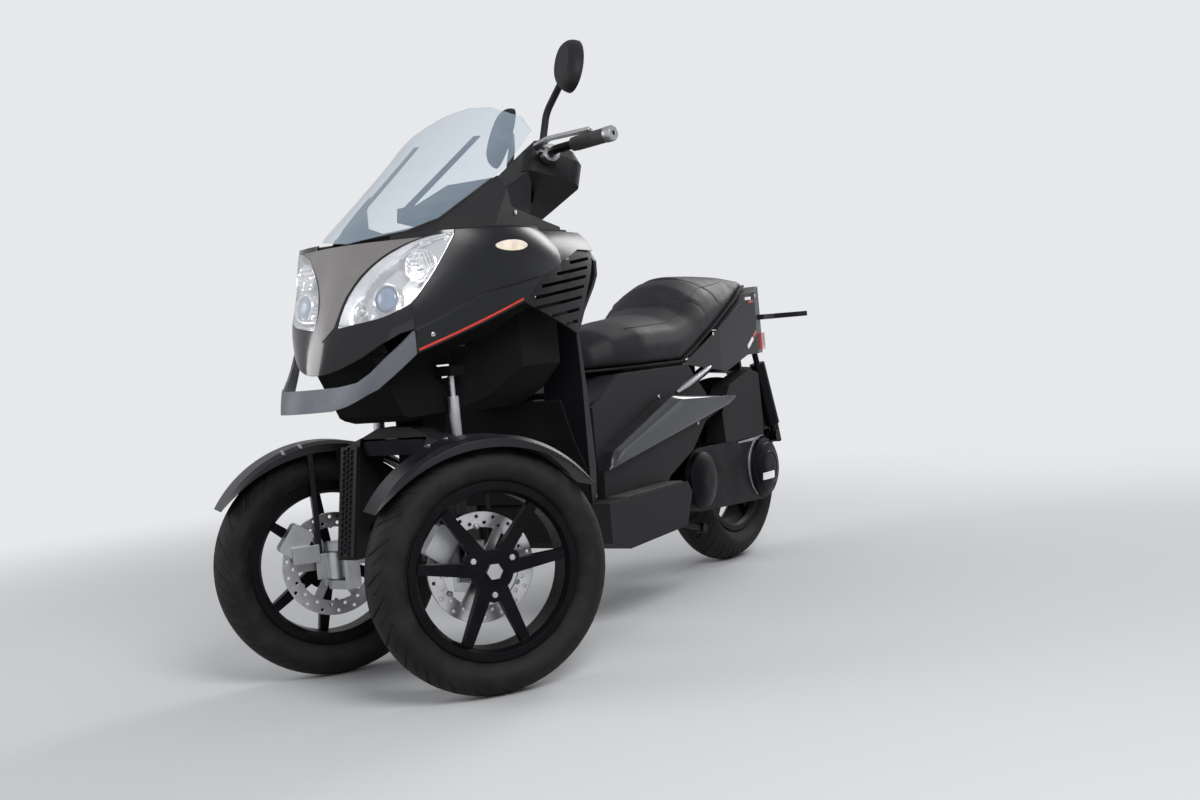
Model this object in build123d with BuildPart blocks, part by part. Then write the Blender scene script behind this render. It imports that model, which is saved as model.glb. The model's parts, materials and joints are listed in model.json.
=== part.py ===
from build123d import *
import os
from math import atan2, cos, degrees, radians, sin

os.makedirs("parts", exist_ok=True)

# A three-wheeled tilting scooter with two steered wheels in front.
# Millimetres. X is the vehicle's left, Y runs back and Z up, and the floor is Z = 0.
# All places are measured from the floor under the middle of the front axle.

# Running gear
WHEELBASE = 1560
TRACK = 550
STEER = -33.8
KING_OFFSET = 70
FRONT_R = 266
FRONT_W = 110
REAR_R = 288
REAR_W = 140
FRONT_RIM_R = 178
REAR_RIM_R = 190
AXLE_R = 12
RUN_GAP = 0.3
SEAT_GAP = 0.3
DISC_R = 120
DISC_T = 5

# Steering column and bar
RAKE = 22
BAR_Y = 606
BAR_Z = 1155
BAR_HALF = 385
BAR_R = 11
GRIP_R = 17
GRIP_L = 125
STEM_R = 15
HEAD_R = 27

# Body
SKIN = 4
BODY_BACK = 510
BELLY_Z = 205
FLOOR_Z = 330
FLOOR_X = 255
FLOOR_IN = 150
SEAT_Z = 780
PILLION_Z = 890
TAIL_BACK = 1790
TAIL_LOW = 636

# Where the kept origin lies, from the floor under the front axle
ORIGIN_X = 0
ORIGIN_Y = 827

UP = Vector(0, 0, 1)
SIDES = {"left": 1, "right": -1}
KING_X = TRACK / 2 - KING_OFFSET
TURN = radians(STEER)
PIECES = []


def keep(builder, name):
    """Label a finished piece and put it on the list of pieces that are written."""
    builder.part.label = name
    PIECES.append(builder.part)


def outboard(side):
    """Direction of a front axle, away from the vehicle; side is 1 on the left and -1 on the right."""
    return Vector(side * cos(TURN), side * sin(TURN), 0)


def king_point(side, z=FRONT_R):
    return Vector(side * KING_X, 0, z)


def wheel_centre(side):
    return king_point(side) + outboard(side) * KING_OFFSET


def hub_plane(side, out):
    """Plane square to a front axle, out from the wheel's middle; its Y is up, its X is back on the left."""
    axle = outboard(side)
    return Plane(origin=wheel_centre(side) + axle * out, x_dir=UP.cross(axle), z_dir=axle)


def section_plane(centre, axle, angle=0):
    """Plane through an axle: X runs along it, and Y points up, or angle degrees on about the axle."""
    radial = UP.rotate(Axis((0, 0, 0), axle), angle)
    return Plane(origin=centre, x_dir=axle, z_dir=axle.cross(radial))


def tube(path_points, radius, bend):
    """A round bar along straight runs joined by arcs of radius bend."""
    with BuildPart() as bar:
        with BuildLine() as path:
            if len(path_points) > 2:
                FilletPolyline(*path_points, radius=bend)
            else:
                Line(*path_points)
        with BuildSketch(Plane(origin=path.line @ 0, z_dir=path.line % 0)):
            Circle(radius)
        sweep()
    return bar.part


# Wheels
# name, centre, axle direction, tyre radius, tyre width, rim radius, angle of the first pair of spokes
WHEELS = [
    ("front_left", wheel_centre(1), outboard(1), FRONT_R, FRONT_W, FRONT_RIM_R, 28),
    ("front_right", wheel_centre(-1), outboard(-1), FRONT_R, FRONT_W, FRONT_RIM_R, 62),
    ("rear", Vector(0, WHEELBASE, REAR_R), Vector(1, 0, 0), REAR_R, REAR_W, REAR_RIM_R, 90),
]
FLANGE_H = 10
FLANGE_T = 5
RIM_T = 14
SPOKE_ROOT_W = 34
SPOKE_TIP_W = 20
SPOKE_T = 22
SPOKE_OUT = 8
SPOKE_PAIR = 46
HUB_R = 34
HUB_FACE = 46
LOBE_AT = 50
LOBE_R = 17
DISC_RING = 34
DISC_HOLE_R = 4
DISC_HOLES = 18
CARRIER_T = 6
CARRIER_W = 20

for name, centre, axle, radius, width, rim_r, first_pair in WHEELS:
    bead = width * 0.31
    side_w = width / 2
    with BuildPart() as tyre:
        with BuildSketch(section_plane(centre, axle)):
            with BuildLine():
                low = rim_r + SEAT_GAP
                lip = rim_r + FLANGE_H + 2
                shoulder = radius - width * 0.27
                Polyline((bead, lip), (bead, low), (-bead, low), (-bead, lip))
                ThreePointArc((-bead, lip), (-side_w, (lip + shoulder) / 2), (-side_w * 0.96, shoulder))
                ThreePointArc((-side_w * 0.96, shoulder), (0, radius), (side_w * 0.96, shoulder))
                ThreePointArc((side_w * 0.96, shoulder), (side_w, (lip + shoulder) / 2), (bead, lip))
            make_face()
        revolve(axis=Axis(centre, axle))
    keep(tyre, "tyre_" + name)

    seat_w = bead + 2
    flange_w = seat_w + FLANGE_T
    with BuildPart() as rim:
        with BuildSketch(section_plane(centre, axle)):
            with BuildLine():
                Polyline(
                    (-flange_w, rim_r + FLANGE_H), (-seat_w, rim_r + FLANGE_H), (-seat_w, rim_r),
                    (seat_w, rim_r), (seat_w, rim_r + FLANGE_H), (flange_w, rim_r + FLANGE_H),
                    (flange_w, rim_r - 6), (flange_w - 12, rim_r - RIM_T), (12 - flange_w, rim_r - RIM_T),
                    (-flange_w, rim_r - 6), close=True,
                )
            make_face()
        revolve(axis=Axis(centre, axle))
        disc_plane = Plane(origin=centre + axle * SPOKE_OUT, x_dir=UP.cross(axle), z_dir=axle)
        with BuildSketch(disc_plane):
            Circle(HUB_FACE)
            with PolarLocations(LOBE_AT, 3, first_pair):
                Circle(LOBE_R)
            reach = rim_r - RIM_T + 2
            slope = degrees(atan2(reach, (SPOKE_ROOT_W - SPOKE_TIP_W) / 2))
            for lean in (-SPOKE_PAIR / 2, SPOKE_PAIR / 2):
                with PolarLocations(reach / 2, 3, first_pair + lean):
                    Trapezoid(SPOKE_ROOT_W, reach, slope, rotation=-90)
        extrude(amount=SPOKE_T)
        with BuildSketch(Plane(origin=centre - axle * flange_w, x_dir=UP.cross(axle), z_dir=axle)):
            Circle(HUB_R)
        extrude(amount=flange_w + SPOKE_OUT + SPOKE_T)
        with BuildSketch(Plane(origin=centre, x_dir=UP.cross(axle), z_dir=axle)):
            Circle(AXLE_R + RUN_GAP)
        extrude(amount=flange_w + 60, both=True, mode=Mode.SUBTRACT)
    keep(rim, "rim_" + name)

    # Brake disc: a drilled ring on a carrier with six arms
    face = -flange_w - SEAT_GAP
    ring_in = DISC_R - DISC_RING
    with BuildPart() as disc:
        with BuildSketch(Plane(origin=centre + axle * face, x_dir=UP.cross(axle), z_dir=-axle)):
            Circle(HUB_R)
            with PolarLocations((HUB_R + ring_in) / 2, 6):
                Rectangle(ring_in - HUB_R + 14, CARRIER_W)
            Circle(AXLE_R + 8, mode=Mode.SUBTRACT)
        extrude(amount=CARRIER_T)
        with BuildSketch(Plane(origin=centre + axle * (face - CARRIER_T + 1), x_dir=UP.cross(axle), z_dir=-axle)):
            Circle(DISC_R)
            Circle(ring_in, mode=Mode.SUBTRACT)
            for row, at in enumerate((ring_in + 10, DISC_R - 10)):
                with PolarLocations(at, DISC_HOLES, row * 180 / DISC_HOLES):
                    Circle(DISC_HOLE_R, mode=Mode.SUBTRACT)
        extrude(amount=DISC_T)
    keep(disc, "disc_" + name)

# Knuckles, calipers and fenders, which steer with the front wheels
BEAD_F = FRONT_W * 0.31
RIM_EDGE = BEAD_F + 2 + FLANGE_T
DISC_OUT = RIM_EDGE + SEAT_GAP + CARRIER_T - 1
PIN_R = 10
BOSS_R = 20
BOSS_H = 62
PLATE_X = 45
PLATE_H = 58
CALIPER_X = 84
CALIPER_Y = 62
FENDER_R = 288
FENDER_W = 68
FENDER_T = 3.5
FENDER_SKIRT = 26
FENDER_ARC = 116
FENDER_DROP = 64
STRUT_X = 34
STRUT_W = 12
STRUT_T = 6
STRUT_IN = 2 - FENDER_W

for name, side in SIDES.items():
    king = king_point(side)
    centre = wheel_centre(side)
    axle = outboard(side)
    with BuildPart() as knuckle:
        with BuildSketch(Plane.XY.offset(FRONT_R - BOSS_H / 2)):
            with Locations((king.X, king.Y)):
                Circle(BOSS_R)
        extrude(amount=BOSS_H)
        with BuildSketch(hub_plane(side, STRUT_IN - SEAT_GAP - STRUT_T)):
            Rectangle(2 * PLATE_X, PLATE_H)
        extrude(amount=STRUT_T)
        with BuildSketch(hub_plane(side, -KING_OFFSET)):
            Circle(AXLE_R)
        extrude(amount=KING_OFFSET + SPOKE_OUT + SPOKE_T + 4)
        with BuildSketch(hub_plane(side, SPOKE_OUT + SPOKE_T + 0.5)):
            RegularPolygon(18, 6)
        extrude(amount=11)
        with BuildSketch(hub_plane(side, STRUT_IN - SEAT_GAP - 10)):
            with Locations((-side * 67, 32)):
                Rectangle(62, 40)
        extrude(amount=10)
        with BuildSketch(Plane.XY.offset(FRONT_R - BOSS_H / 2)):
            with Locations((king.X, king.Y)):
                Circle(PIN_R + 0.1)
        extrude(amount=BOSS_H, mode=Mode.SUBTRACT)
    keep(knuckle, "knuckle_" + name)

    with BuildPart() as caliper:
        with BuildSketch(hub_plane(side, STRUT_IN)):
            with Locations(Location((-side * CALIPER_X, CALIPER_Y), -side * 36.4)):
                RectangleRounded(56, 74, 10)
        extrude(amount=36)
        with BuildSketch(hub_plane(side, -DISC_OUT - DISC_T - 5)):
            Circle(DISC_R + 5)
        extrude(amount=DISC_T + CARRIER_T + 9, mode=Mode.SUBTRACT)
    keep(caliper, "caliper_" + name)

    start = (180 - FENDER_ARC) / 2 - 90
    with BuildPart() as fender:
        with BuildSketch(section_plane(centre, axle, side * start)):
            with BuildLine():
                low = FENDER_R - FENDER_SKIRT
                Polyline(
                    (-FENDER_W, low), (-FENDER_W + 2, FENDER_R - 8), (-FENDER_W + 20, FENDER_R),
                    (FENDER_W - 20, FENDER_R), (FENDER_W - 2, FENDER_R - 8), (FENDER_W, low),
                    (FENDER_W - FENDER_T, low), (FENDER_W - FENDER_T - 2, FENDER_R - 9 - FENDER_T / 2),
                    (FENDER_W - 22, FENDER_R - FENDER_T), (22 - FENDER_W, FENDER_R - FENDER_T),
                    (FENDER_T + 2 - FENDER_W, FENDER_R - 9 - FENDER_T / 2), (FENDER_T - FENDER_W, low),
                    close=True,
                )
            make_face()
        revolve(axis=Axis(centre, axle * side), revolution_arc=FENDER_ARC)
        with BuildSketch(hub_plane(side, -FENDER_W - 5)):
            with Locations((0, -FENDER_DROP)):
                Circle(FENDER_R - FENDER_SKIRT + FENDER_DROP)
        extrude(amount=2 * FENDER_W + 10, mode=Mode.SUBTRACT)
        with BuildSketch(hub_plane(side, STRUT_IN)):
            with Locations((-STRUT_X, 0), (STRUT_X, 0)):
                Rectangle(STRUT_W, low + 4, align=(Align.CENTER, Align.MIN))
        extrude(amount=STRUT_T)
    keep(fender, "fender_" + name)

# Legs and forks that hold the kingpins, with the tilting arms between them
LEG_IN = 95
LEG_OUT = 150
LEG_FOOT = 285
LEG_BACK = 75
LEG_TOP = 585
YOKE_Z = 551
YOKE_T = 24
FORK_T = 20
FORK_W = 40
FORK_WEB = 12
BOSS_GAP = 3

with BuildPart() as legs:
    for side in SIDES.values():
        with BuildSketch(Plane.YZ.offset(side * LEG_IN)):
            with BuildLine():
                Polyline((-50, LEG_FOOT), (0, 545), (20, LEG_TOP), (LEG_BACK, LEG_TOP), (LEG_BACK, 500), (30, LEG_FOOT), close=True)
            make_face()
        extrude(amount=side * (LEG_OUT - LEG_IN))
    with BuildSketch(Plane.YZ.offset(-LEG_IN)):
        with Locations((33, YOKE_Z)):
            Rectangle(50, YOKE_T, align=(Align.CENTER, Align.MIN))
    extrude(amount=2 * LEG_IN)
    with BuildSketch(Plane.XZ.offset(100)):
        with BuildLine():
            Polyline(
                (-LEG_OUT, LEG_FOOT - 10), (-LEG_OUT, 533), (-46, YOKE_Z + YOKE_T), (46, YOKE_Z + YOKE_T), (LEG_OUT, 533),
                (LEG_OUT, LEG_FOOT - 10), close=True,
            )
        make_face()
    extrude(amount=-220, mode=Mode.INTERSECT)
keep(legs, "legs")

# Honeycomb plates on the front of the legs, sloping with them
HEX_R = 6.4
HEX_PITCH = 13
GRILLE_T = 6
GRILLE_H = 250
GRILLE_W = 49
leg_face = Vector(0, 50, 260).normalized()
with BuildPart() as grilles:
    for side in SIDES.values():
        foot = Vector(side * (LEG_IN + LEG_OUT) / 2, -50, LEG_FOOT) + leg_face * 6
        face_plane = Plane(origin=foot, x_dir=(1, 0, 0), z_dir=Vector(1, 0, 0).cross(leg_face))
        with BuildSketch(face_plane.offset(SEAT_GAP)):
            Rectangle(GRILLE_W, GRILLE_H, align=(Align.CENTER, Align.MIN))
        extrude(amount=GRILLE_T)
        with BuildSketch(face_plane.offset(SEAT_GAP + 2)):
            with Locations((0, GRILLE_H / 2)):
                with HexLocations(HEX_R, 3, 19, major_radius=False) as cells:
                    RegularPolygon(HEX_R - 0.9, 6, major_radius=False)
        extrude(amount=GRILLE_T, mode=Mode.SUBTRACT)
keep(grilles, "leg_grilles")

with BuildPart() as forks:
    for side in SIDES.values():
        for low in (FRONT_R + BOSS_H / 2 + BOSS_GAP, FRONT_R - BOSS_H / 2 - BOSS_GAP - FORK_T):
            with BuildSketch(Plane.XY.offset(low)):
                with Locations((side * KING_X, 0)):
                    Circle(FORK_W / 2)
                with Locations((side * (LEG_OUT + SEAT_GAP), 0)):
                    Rectangle(KING_X - LEG_OUT, FORK_W, align=(Align.MIN if side > 0 else Align.MAX, Align.CENTER))
            extrude(amount=FORK_T)
        web_low = FRONT_R - BOSS_H / 2 - BOSS_GAP - FORK_T
        with BuildSketch(Plane.XY.offset(web_low)):
            with Locations((side * (LEG_OUT + SEAT_GAP), 0)):
                Rectangle(FORK_WEB, FORK_W, align=(Align.MIN if side > 0 else Align.MAX, Align.CENTER))
        extrude(amount=BOSS_H + 2 * BOSS_GAP + 2 * FORK_T + 40)
        with BuildSketch(Plane.XY.offset(web_low)):
            with Locations((side * KING_X, 0)):
                Circle(PIN_R)
        extrude(amount=BOSS_H + 2 * BOSS_GAP + 2 * FORK_T)
keep(forks, "kingpin_forks")

# height of each tilting arm
ARM_ROWS = (345, 530)
ARM_D = 34
ARM_Y = 5
TOWER_FRONT = 62
TOWER_X = 38
CYL_X = 112
CYL_LOW = 505
CYL_TUBE = 128
with BuildPart() as arms:
    for height in ARM_ROWS:
        with BuildSketch(Plane.XZ.offset(-ARM_Y)):
            with Locations((0, height)):
                SlotOverall(2 * (LEG_IN - SEAT_GAP), ARM_D)
        extrude(amount=-(TOWER_FRONT - SEAT_GAP - ARM_Y))
keep(arms, "tilt_arms")

with BuildPart() as tower:
    with BuildSketch(Plane.YZ):
        with BuildLine():
            Polyline((TOWER_FRONT, 310), (TOWER_FRONT, 700), (120, 715), (150, 690), (150, 340), (120, 310), close=True)
        make_face()
    extrude(amount=TOWER_X, both=True)
    with BuildSketch(Plane.YZ):
        with Locations((TOWER_FRONT + 25, 690)):
            Rectangle(50, 22)
    extrude(amount=CYL_X + 22, both=True)
keep(tower, "front_tower")

with BuildPart() as cylinders:
    for side in SIDES.values():
        base = Vector(side * CYL_X, LEG_BACK + SEAT_GAP + 14, CYL_LOW)
        with BuildSketch(Plane.XY.offset(CYL_LOW).move(Location((base.X, base.Y, 0)))):
            Circle(13)
        extrude(amount=CYL_TUBE)
        with BuildSketch(Plane.XY.offset(CYL_LOW).move(Location((base.X, base.Y, 0)))):
            Circle(7)
        extrude(amount=679 - SEAT_GAP - CYL_LOW)
        with BuildSketch(Plane.XZ.offset(-LEG_BACK - SEAT_GAP)):
            with Locations((base.X, CYL_LOW + 14)):
                Circle(12)
        extrude(amount=-26)
keep(cylinders, "tilt_cylinders")

# Tail: Y and half width of the plan, then the side profile
TAIL_PLAN = [(790, 150), (1000, 172), (1300, 172), (1585, 158), (1700, 118), (TAIL_BACK, 62)]


def tail_wall(y, out):
    """Point beside the tail's left wall at that Y, standing out from it by that much."""
    for (y0, x0), (y1, x1) in zip(TAIL_PLAN, TAIL_PLAN[1:]):
        if y0 <= y <= y1:
            along = Vector(x1 - x0, y1 - y0, 0).normalized()
            return (x0 + (x1 - x0) * (y - y0) / (y1 - y0) + along.Y * out, y - along.X * out)


# Frame
RAIL_X = 110
RAIL_R = 15
BACKBONE_R = 26
ENGINE_FRONT = 1012
SLOT_X = 80
COLUMN = Vector(0, sin(radians(RAKE)), cos(radians(RAKE)))
BAR_POINT = Vector(0, BAR_Y, BAR_Z)


def column_point(z):
    """Point of the steering axis at height z."""
    return BAR_POINT + COLUMN * ((z - BAR_Z) / COLUMN.Z)


HEAD_LOW = column_point(760)
HEAD_HIGH = column_point(955)
with BuildPart() as head:
    with BuildSketch(Plane(origin=HEAD_LOW, z_dir=COLUMN)):
        Circle(HEAD_R)
    extrude(amount=(HEAD_HIGH - HEAD_LOW).length)
    add(tube([Vector(0, 150.3, 630), Vector(0, 220, 630), HEAD_LOW + COLUMN * 90 - Vector(0, 20, 0)], BACKBONE_R, 60))
    add(tube([Vector(0, 490, 800), Vector(0, 534, 480), Vector(0, 640, 255), Vector(0, ENGINE_FRONT - SEAT_GAP, 255)], BACKBONE_R, 90))
    with BuildSketch(Plane.YZ.offset(SEAT_GAP - SLOT_X)):
        with Locations((507, 600)):
            Circle(8)
    extrude(amount=2 * (SLOT_X - SEAT_GAP))
    with BuildSketch(Plane(origin=HEAD_LOW - COLUMN * 20, z_dir=COLUMN)):
        Circle(STEM_R + RUN_GAP)
    extrude(amount=300, mode=Mode.SUBTRACT)
keep(head, "frame_backbone")

# Stays out to the floor and the tail: Y, Z, radius and the X they reach
RAIL_STAYS = [
    (620, 252, 12, FLOOR_IN - SEAT_GAP),
    (820, 252, 12, FLOOR_IN - SEAT_GAP),
    (1500, 668, 10, tail_wall(1500, -SKIN - SEAT_GAP)[0] - 0.5),
]
with BuildPart() as rails:
    for side in SIDES.values():
        x = side * RAIL_X
        add(tube([
            Vector(x, 560, 250), Vector(x, 900, 250), Vector(x, 1010, 480), Vector(x, 1240, 590), Vector(x, 1640, 710),
        ], RAIL_R, 60))
        with BuildSketch(Plane.YZ.offset(side * (BACKBONE_R + SEAT_GAP))):
            with Locations((700, 252)):
                Circle(RAIL_R)
        extrude(amount=side * (RAIL_X - BACKBONE_R - SEAT_GAP))
        for stay_y, stay_z, stay_r, stay_x in RAIL_STAYS:
            with BuildSketch(Plane.YZ.offset(side * RAIL_X)):
                with Locations((stay_y, stay_z)):
                    Circle(stay_r)
            extrude(amount=side * (stay_x - RAIL_X))
    with BuildSketch(Plane.YZ.offset(-RAIL_X)):
        with Locations((1632, 708)):
            Circle(RAIL_R)
    extrude(amount=2 * RAIL_X)
keep(rails, "frame_rails")

# Front body, cut out of one form: height, nose, cheek x, cheek y, half width over the axle,
# half width at the belt, half width at the back
BODY_ROWS = [
    (655, -224, 98, -168, 188, 262, 235),
    (760, -200, 132, -142, 215, 282, 250),
    (850, -156, 150, -112, 232, 294, 260),
    (920, -121, 138, -85, 236, 296, 261),
    (992, -84, 112, -60, 222, 240, 218),
]
BELT_Y = 300
SEAM_Y = 92
NOSE_Z = 706
SHOULDER = (430, 992)
SHOULDER_BACK = (BODY_BACK, 955)
RIDGE_OUT = 5
LAMP_GAP = 0.8


def body_section(row, inset, height=None):
    """Plan of the front body at one row, inset by that much, at its own height or another."""
    z, nose, cheek_x, cheek_y, axle_x, belt_x, back_x = row
    with BuildSketch(Plane.XY.offset(z if height is None else height)) as section:
        with BuildLine():
            cheek = (cheek_x - inset * 0.6, cheek_y + inset)
            belt = (belt_x - inset, BELT_Y)
            back = (back_x - inset, BODY_BACK)
            mid = ((belt[0] + back[0]) / 2 + 8, (BELT_Y + BODY_BACK) / 2)
            ThreePointArc((-cheek[0], cheek[1]), (0, nose + inset), cheek)
            ThreePointArc(cheek, (axle_x - inset, 0), belt)
            ThreePointArc(belt, mid, back)
            Line(back, (-back[0], BODY_BACK))
            ThreePointArc((-back[0], BODY_BACK), (-mid[0], mid[1]), (-belt[0], BELT_Y))
            ThreePointArc((-belt[0], BELT_Y), (inset - axle_x, 0), (-cheek[0], cheek[1]))
        make_face()
    return section.sketch


def front_form(inset, rows=BODY_ROWS):
    """The closed form of the front body or of the lip, with its surface inset by that much."""
    with BuildPart() as form:
        for row in rows:
            add(body_section(row, inset))
        loft()
    return form.part


def lamp_outline(grow):
    """Both headlights seen from the front, grown by that much."""
    with BuildSketch(Plane.XZ) as outline:
        for side in SIDES.values():
            with BuildLine():
                inner, low, outer, tip = (side * 36, 802), (side * 110, 813), (side * 168, 842), (side * 226, 984)
                Line(inner, low)
                ThreePointArc(low, (side * 142, 824), outer)
                ThreePointArc(outer, (side * 200, 912), tip)
                ThreePointArc(tip, (side * 118, 954), (side * 52, 884))
                ThreePointArc((side * 52, 884), (side * 38, 844), inner)
            make_face()
        if grow:
            offset(amount=grow)
    return outline.sketch


OUTER = front_form(0)
INNER = front_form(SKIN)
LAMP_BACK = front_form(42)

with BuildPart() as lamps:
    add(OUTER)
    add(LAMP_BACK, mode=Mode.SUBTRACT)
    extrude(lamp_outline(0), amount=260, both=True, mode=Mode.INTERSECT)
    with BuildSketch(Plane.XY.offset(640)):
        with Locations((0, 40)):
            Rectangle(700, 600, align=(Align.CENTER, Align.MIN))
    extrude(amount=400, mode=Mode.SUBTRACT)
keep(lamps, "headlights")

with BuildPart() as shell:
    add(OUTER)
    add(INNER, mode=Mode.SUBTRACT)
    with BuildSketch(Plane.YZ):
        with BuildLine():
            Polyline(
                (-300, 600), (-300, NOSE_Z), (-219, NOSE_Z), (-176, 738), (-151, 760), (-118, 780), (-SEAM_Y, 787),
                (-SEAM_Y, 733), (158, 829), (384, 746), (600, 740), (600, 600), close=True,
            )
            Polyline(SHOULDER, (SHOULDER[0], 1010), (600, 1010), (600, SHOULDER_BACK[1]), SHOULDER_BACK, close=True)
        make_face()
    extrude(amount=400, both=True, mode=Mode.SUBTRACT)
    extrude(lamp_outline(LAMP_GAP), amount=300, mode=Mode.SUBTRACT)
    extrude(lamp_outline(LAMP_GAP), amount=-30, mode=Mode.SUBTRACT)
    with BuildSketch(Plane.XY.offset(640)):
        with Locations((0, BODY_BACK - 10)):
            Rectangle(700, 100, align=(Align.CENTER, Align.MIN))
    extrude(amount=400, mode=Mode.SUBTRACT)
    with BuildSketch(Plane.XZ.offset(SEAM_Y)):
        with Locations((0, 600)):
            Rectangle(700, 250, align=(Align.CENTER, Align.MIN))
    extrude(amount=2 * SEAT_GAP, mode=Mode.SUBTRACT)
    with BuildSketch(Plane.XZ.offset(-150)):
        with Locations((-226, 984), (226, 984)):
            Rectangle(2 * SEAT_GAP, 20, align=(Align.CENTER, Align.MIN))
    extrude(amount=450, mode=Mode.SUBTRACT)
    with BuildSketch(Plane.XY.offset(980)):
        with Locations((0, -150)):
            Rectangle(210, 300)
    extrude(amount=40, mode=Mode.SUBTRACT)

panels = shell.part.solids().sort_by(Axis.X)

with BuildPart() as nose:
    add(panels[1])
keep(nose, "nose_fairing")
# Raised lower panel of each side fairing, from the mouth to the air outlet
with BuildPart() as ridges:
    add(front_form(-RIDGE_OUT))
    add(front_form(1), mode=Mode.SUBTRACT)
    with BuildSketch(Plane.YZ):
        with BuildLine():
            Polyline(
                (-SEAM_Y, 733), (158, 829), (192, 838), (201, 880), (51, 852), (-86, 787), (-SEAM_Y, 784), close=True,
            )
        make_face()
    extrude(amount=400, both=True, mode=Mode.INTERSECT)

SIGNAL = (114, 951)
SIGNAL_LONG = 42
SIGNAL_HIGH = 12
with BuildPart() as side_fairings:
    add(panels[0])
    add(panels[2])
    add(ridges.part)
    with BuildSketch(Plane.YZ):
        with BuildLine():
            Polyline((166, 700), (166, 836), (203, 880), (396, 944), (BODY_BACK, 944), (BODY_BACK, 700), close=True)
        make_face()
        with Locations(SIGNAL):
            Ellipse(SIGNAL_LONG + SEAT_GAP, SIGNAL_HIGH + SEAT_GAP)
    extrude(amount=400, both=True, mode=Mode.SUBTRACT)
keep(side_fairings, "side_fairings")

# Ribbed air outlet at the back of each side fairing: height of each slot and where it starts and ends
LOUVRE_ROWS = [
    (774, 326, 380), (798, 264, 390), (822, 204, 402), (846, 196, 414), (870, 216, 426), (894, 276, 440), (918, 344, 456),
]
LOUVRE_SLOT = 8
with BuildPart() as louvres:
    add(front_form(SKIN + SEAT_GAP))
    add(front_form(2 * SKIN + SEAT_GAP), mode=Mode.SUBTRACT)
    with BuildSketch(Plane.YZ):
        with BuildLine():
            Polyline(
                (158, 829), (197, 886), (393, 951), (488, 951), (488, 935), (435, 851), (407, 792), (384, 746),
                close=True,
            )
        make_face()
        for height, start, end in LOUVRE_ROWS:
            with Locations(Location(((start + end) / 2, height), 6)):
                Rectangle(end - start, LOUVRE_SLOT, mode=Mode.SUBTRACT)
    extrude(amount=400, both=True, mode=Mode.INTERSECT)
keep(louvres, "louvre_panels")

# Grey lip round the mouth under the nose, on a form that stands out further at its foot
LIP_ROWS = [
    (632, -292, 100, -204, 184, 262, 235),
    (700, -262, 126, -170, 204, 272, 243),
    (800, -186, 142, -126, 226, 288, 256),
]
LIP_T = 6
with BuildPart() as lip:
    add(front_form(0, LIP_ROWS))
    add(front_form(LIP_T, LIP_ROWS), mode=Mode.SUBTRACT)
    with BuildSketch(Plane.YZ):
        with BuildLine():
            seam = -SEAM_Y - 2 * SEAT_GAP
            Polyline(
                (-320, 632), (-262, 632), (-236, 639), (-170, 668), (-135, 696), (seam, 733), (seam, 783), (-118, 758), (-150, 731),
                (-183, 703), (-210, 686), (-240, 680), (-320, 678), close=True,
            )
        make_face()
    extrude(amount=300, both=True, mode=Mode.INTERSECT)
keep(lip, "nose_lip")

# Turn signals set in the side fairings
with BuildPart() as signals:
    add(front_form(-3))
    add(front_form(SKIN), mode=Mode.SUBTRACT)
    with BuildSketch(Plane.YZ):
        with Locations(SIGNAL):
            Ellipse(SIGNAL_LONG, SIGNAL_HIGH)
    extrude(amount=400, both=True, mode=Mode.INTERSECT)
keep(signals, "turn_signals")

# Windscreen: height, middle Y, half width, how far the edges lie behind the middle
SCREEN_ROWS = [(955, -130, 225, 160), (1141, 142, 225, 128), (1340, 432, 225, 62)]
SCREEN_T = 4


def screen_form(inset):
    """A closed block whose front face is the screen's outer face, inset by that much."""
    with BuildPart() as form:
        for z, middle, half, wrap in SCREEN_ROWS:
            with BuildSketch(Plane.XY.offset(z)):
                with BuildLine():
                    left = (half, middle + wrap + inset)
                    right = (-half, middle + wrap + inset)
                    ThreePointArc(right, (0, middle + inset), left)
                    Polyline(left, (half, middle + 320), (-half, middle + 320), right)
                make_face()
        loft()
    return form.part


with BuildPart() as screen:
    add(screen_form(0))
    add(screen_form(SCREEN_T * 1.6), mode=Mode.SUBTRACT)
    with BuildSketch(Plane.XZ.offset(300)):
        with BuildLine():
            Polyline(
                (0, 984), (120, 1000), (160, 1024), (203, 1138), (206, 1232), (168, 1272), (70, 1312), (0, 1322),
                (-70, 1312), (-168, 1272), (-206, 1232), (-203, 1138), (-160, 1024), (-120, 1000), close=True,
            )
        make_face()
    extrude(amount=-1000, mode=Mode.INTERSECT)
keep(screen, "windscreen")

# Two bars that stiffen the screen: X at the top and at the foot
BAR_TOP_Z = 1232
BAR_FOOT_Z = 1058
with BuildPart() as screen_bars:
    add(screen_form(SCREEN_T * 1.6 + SEAT_GAP * 2))
    add(screen_form(SCREEN_T * 1.6 + SEAT_GAP * 2 + 10), mode=Mode.SUBTRACT)
    with BuildSketch(Plane.XZ.offset(300)):
        for side in SIDES.values():
            with BuildLine():
                Polyline(
                    (side * 66, BAR_FOOT_Z), (side * 80, BAR_FOOT_Z), (side * 98, BAR_TOP_Z), (side * 86, BAR_TOP_Z),
                    close=True,
                )
            make_face()
    extrude(amount=-1000, mode=Mode.INTERSECT)
keep(screen_bars, "screen_rails")

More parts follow.
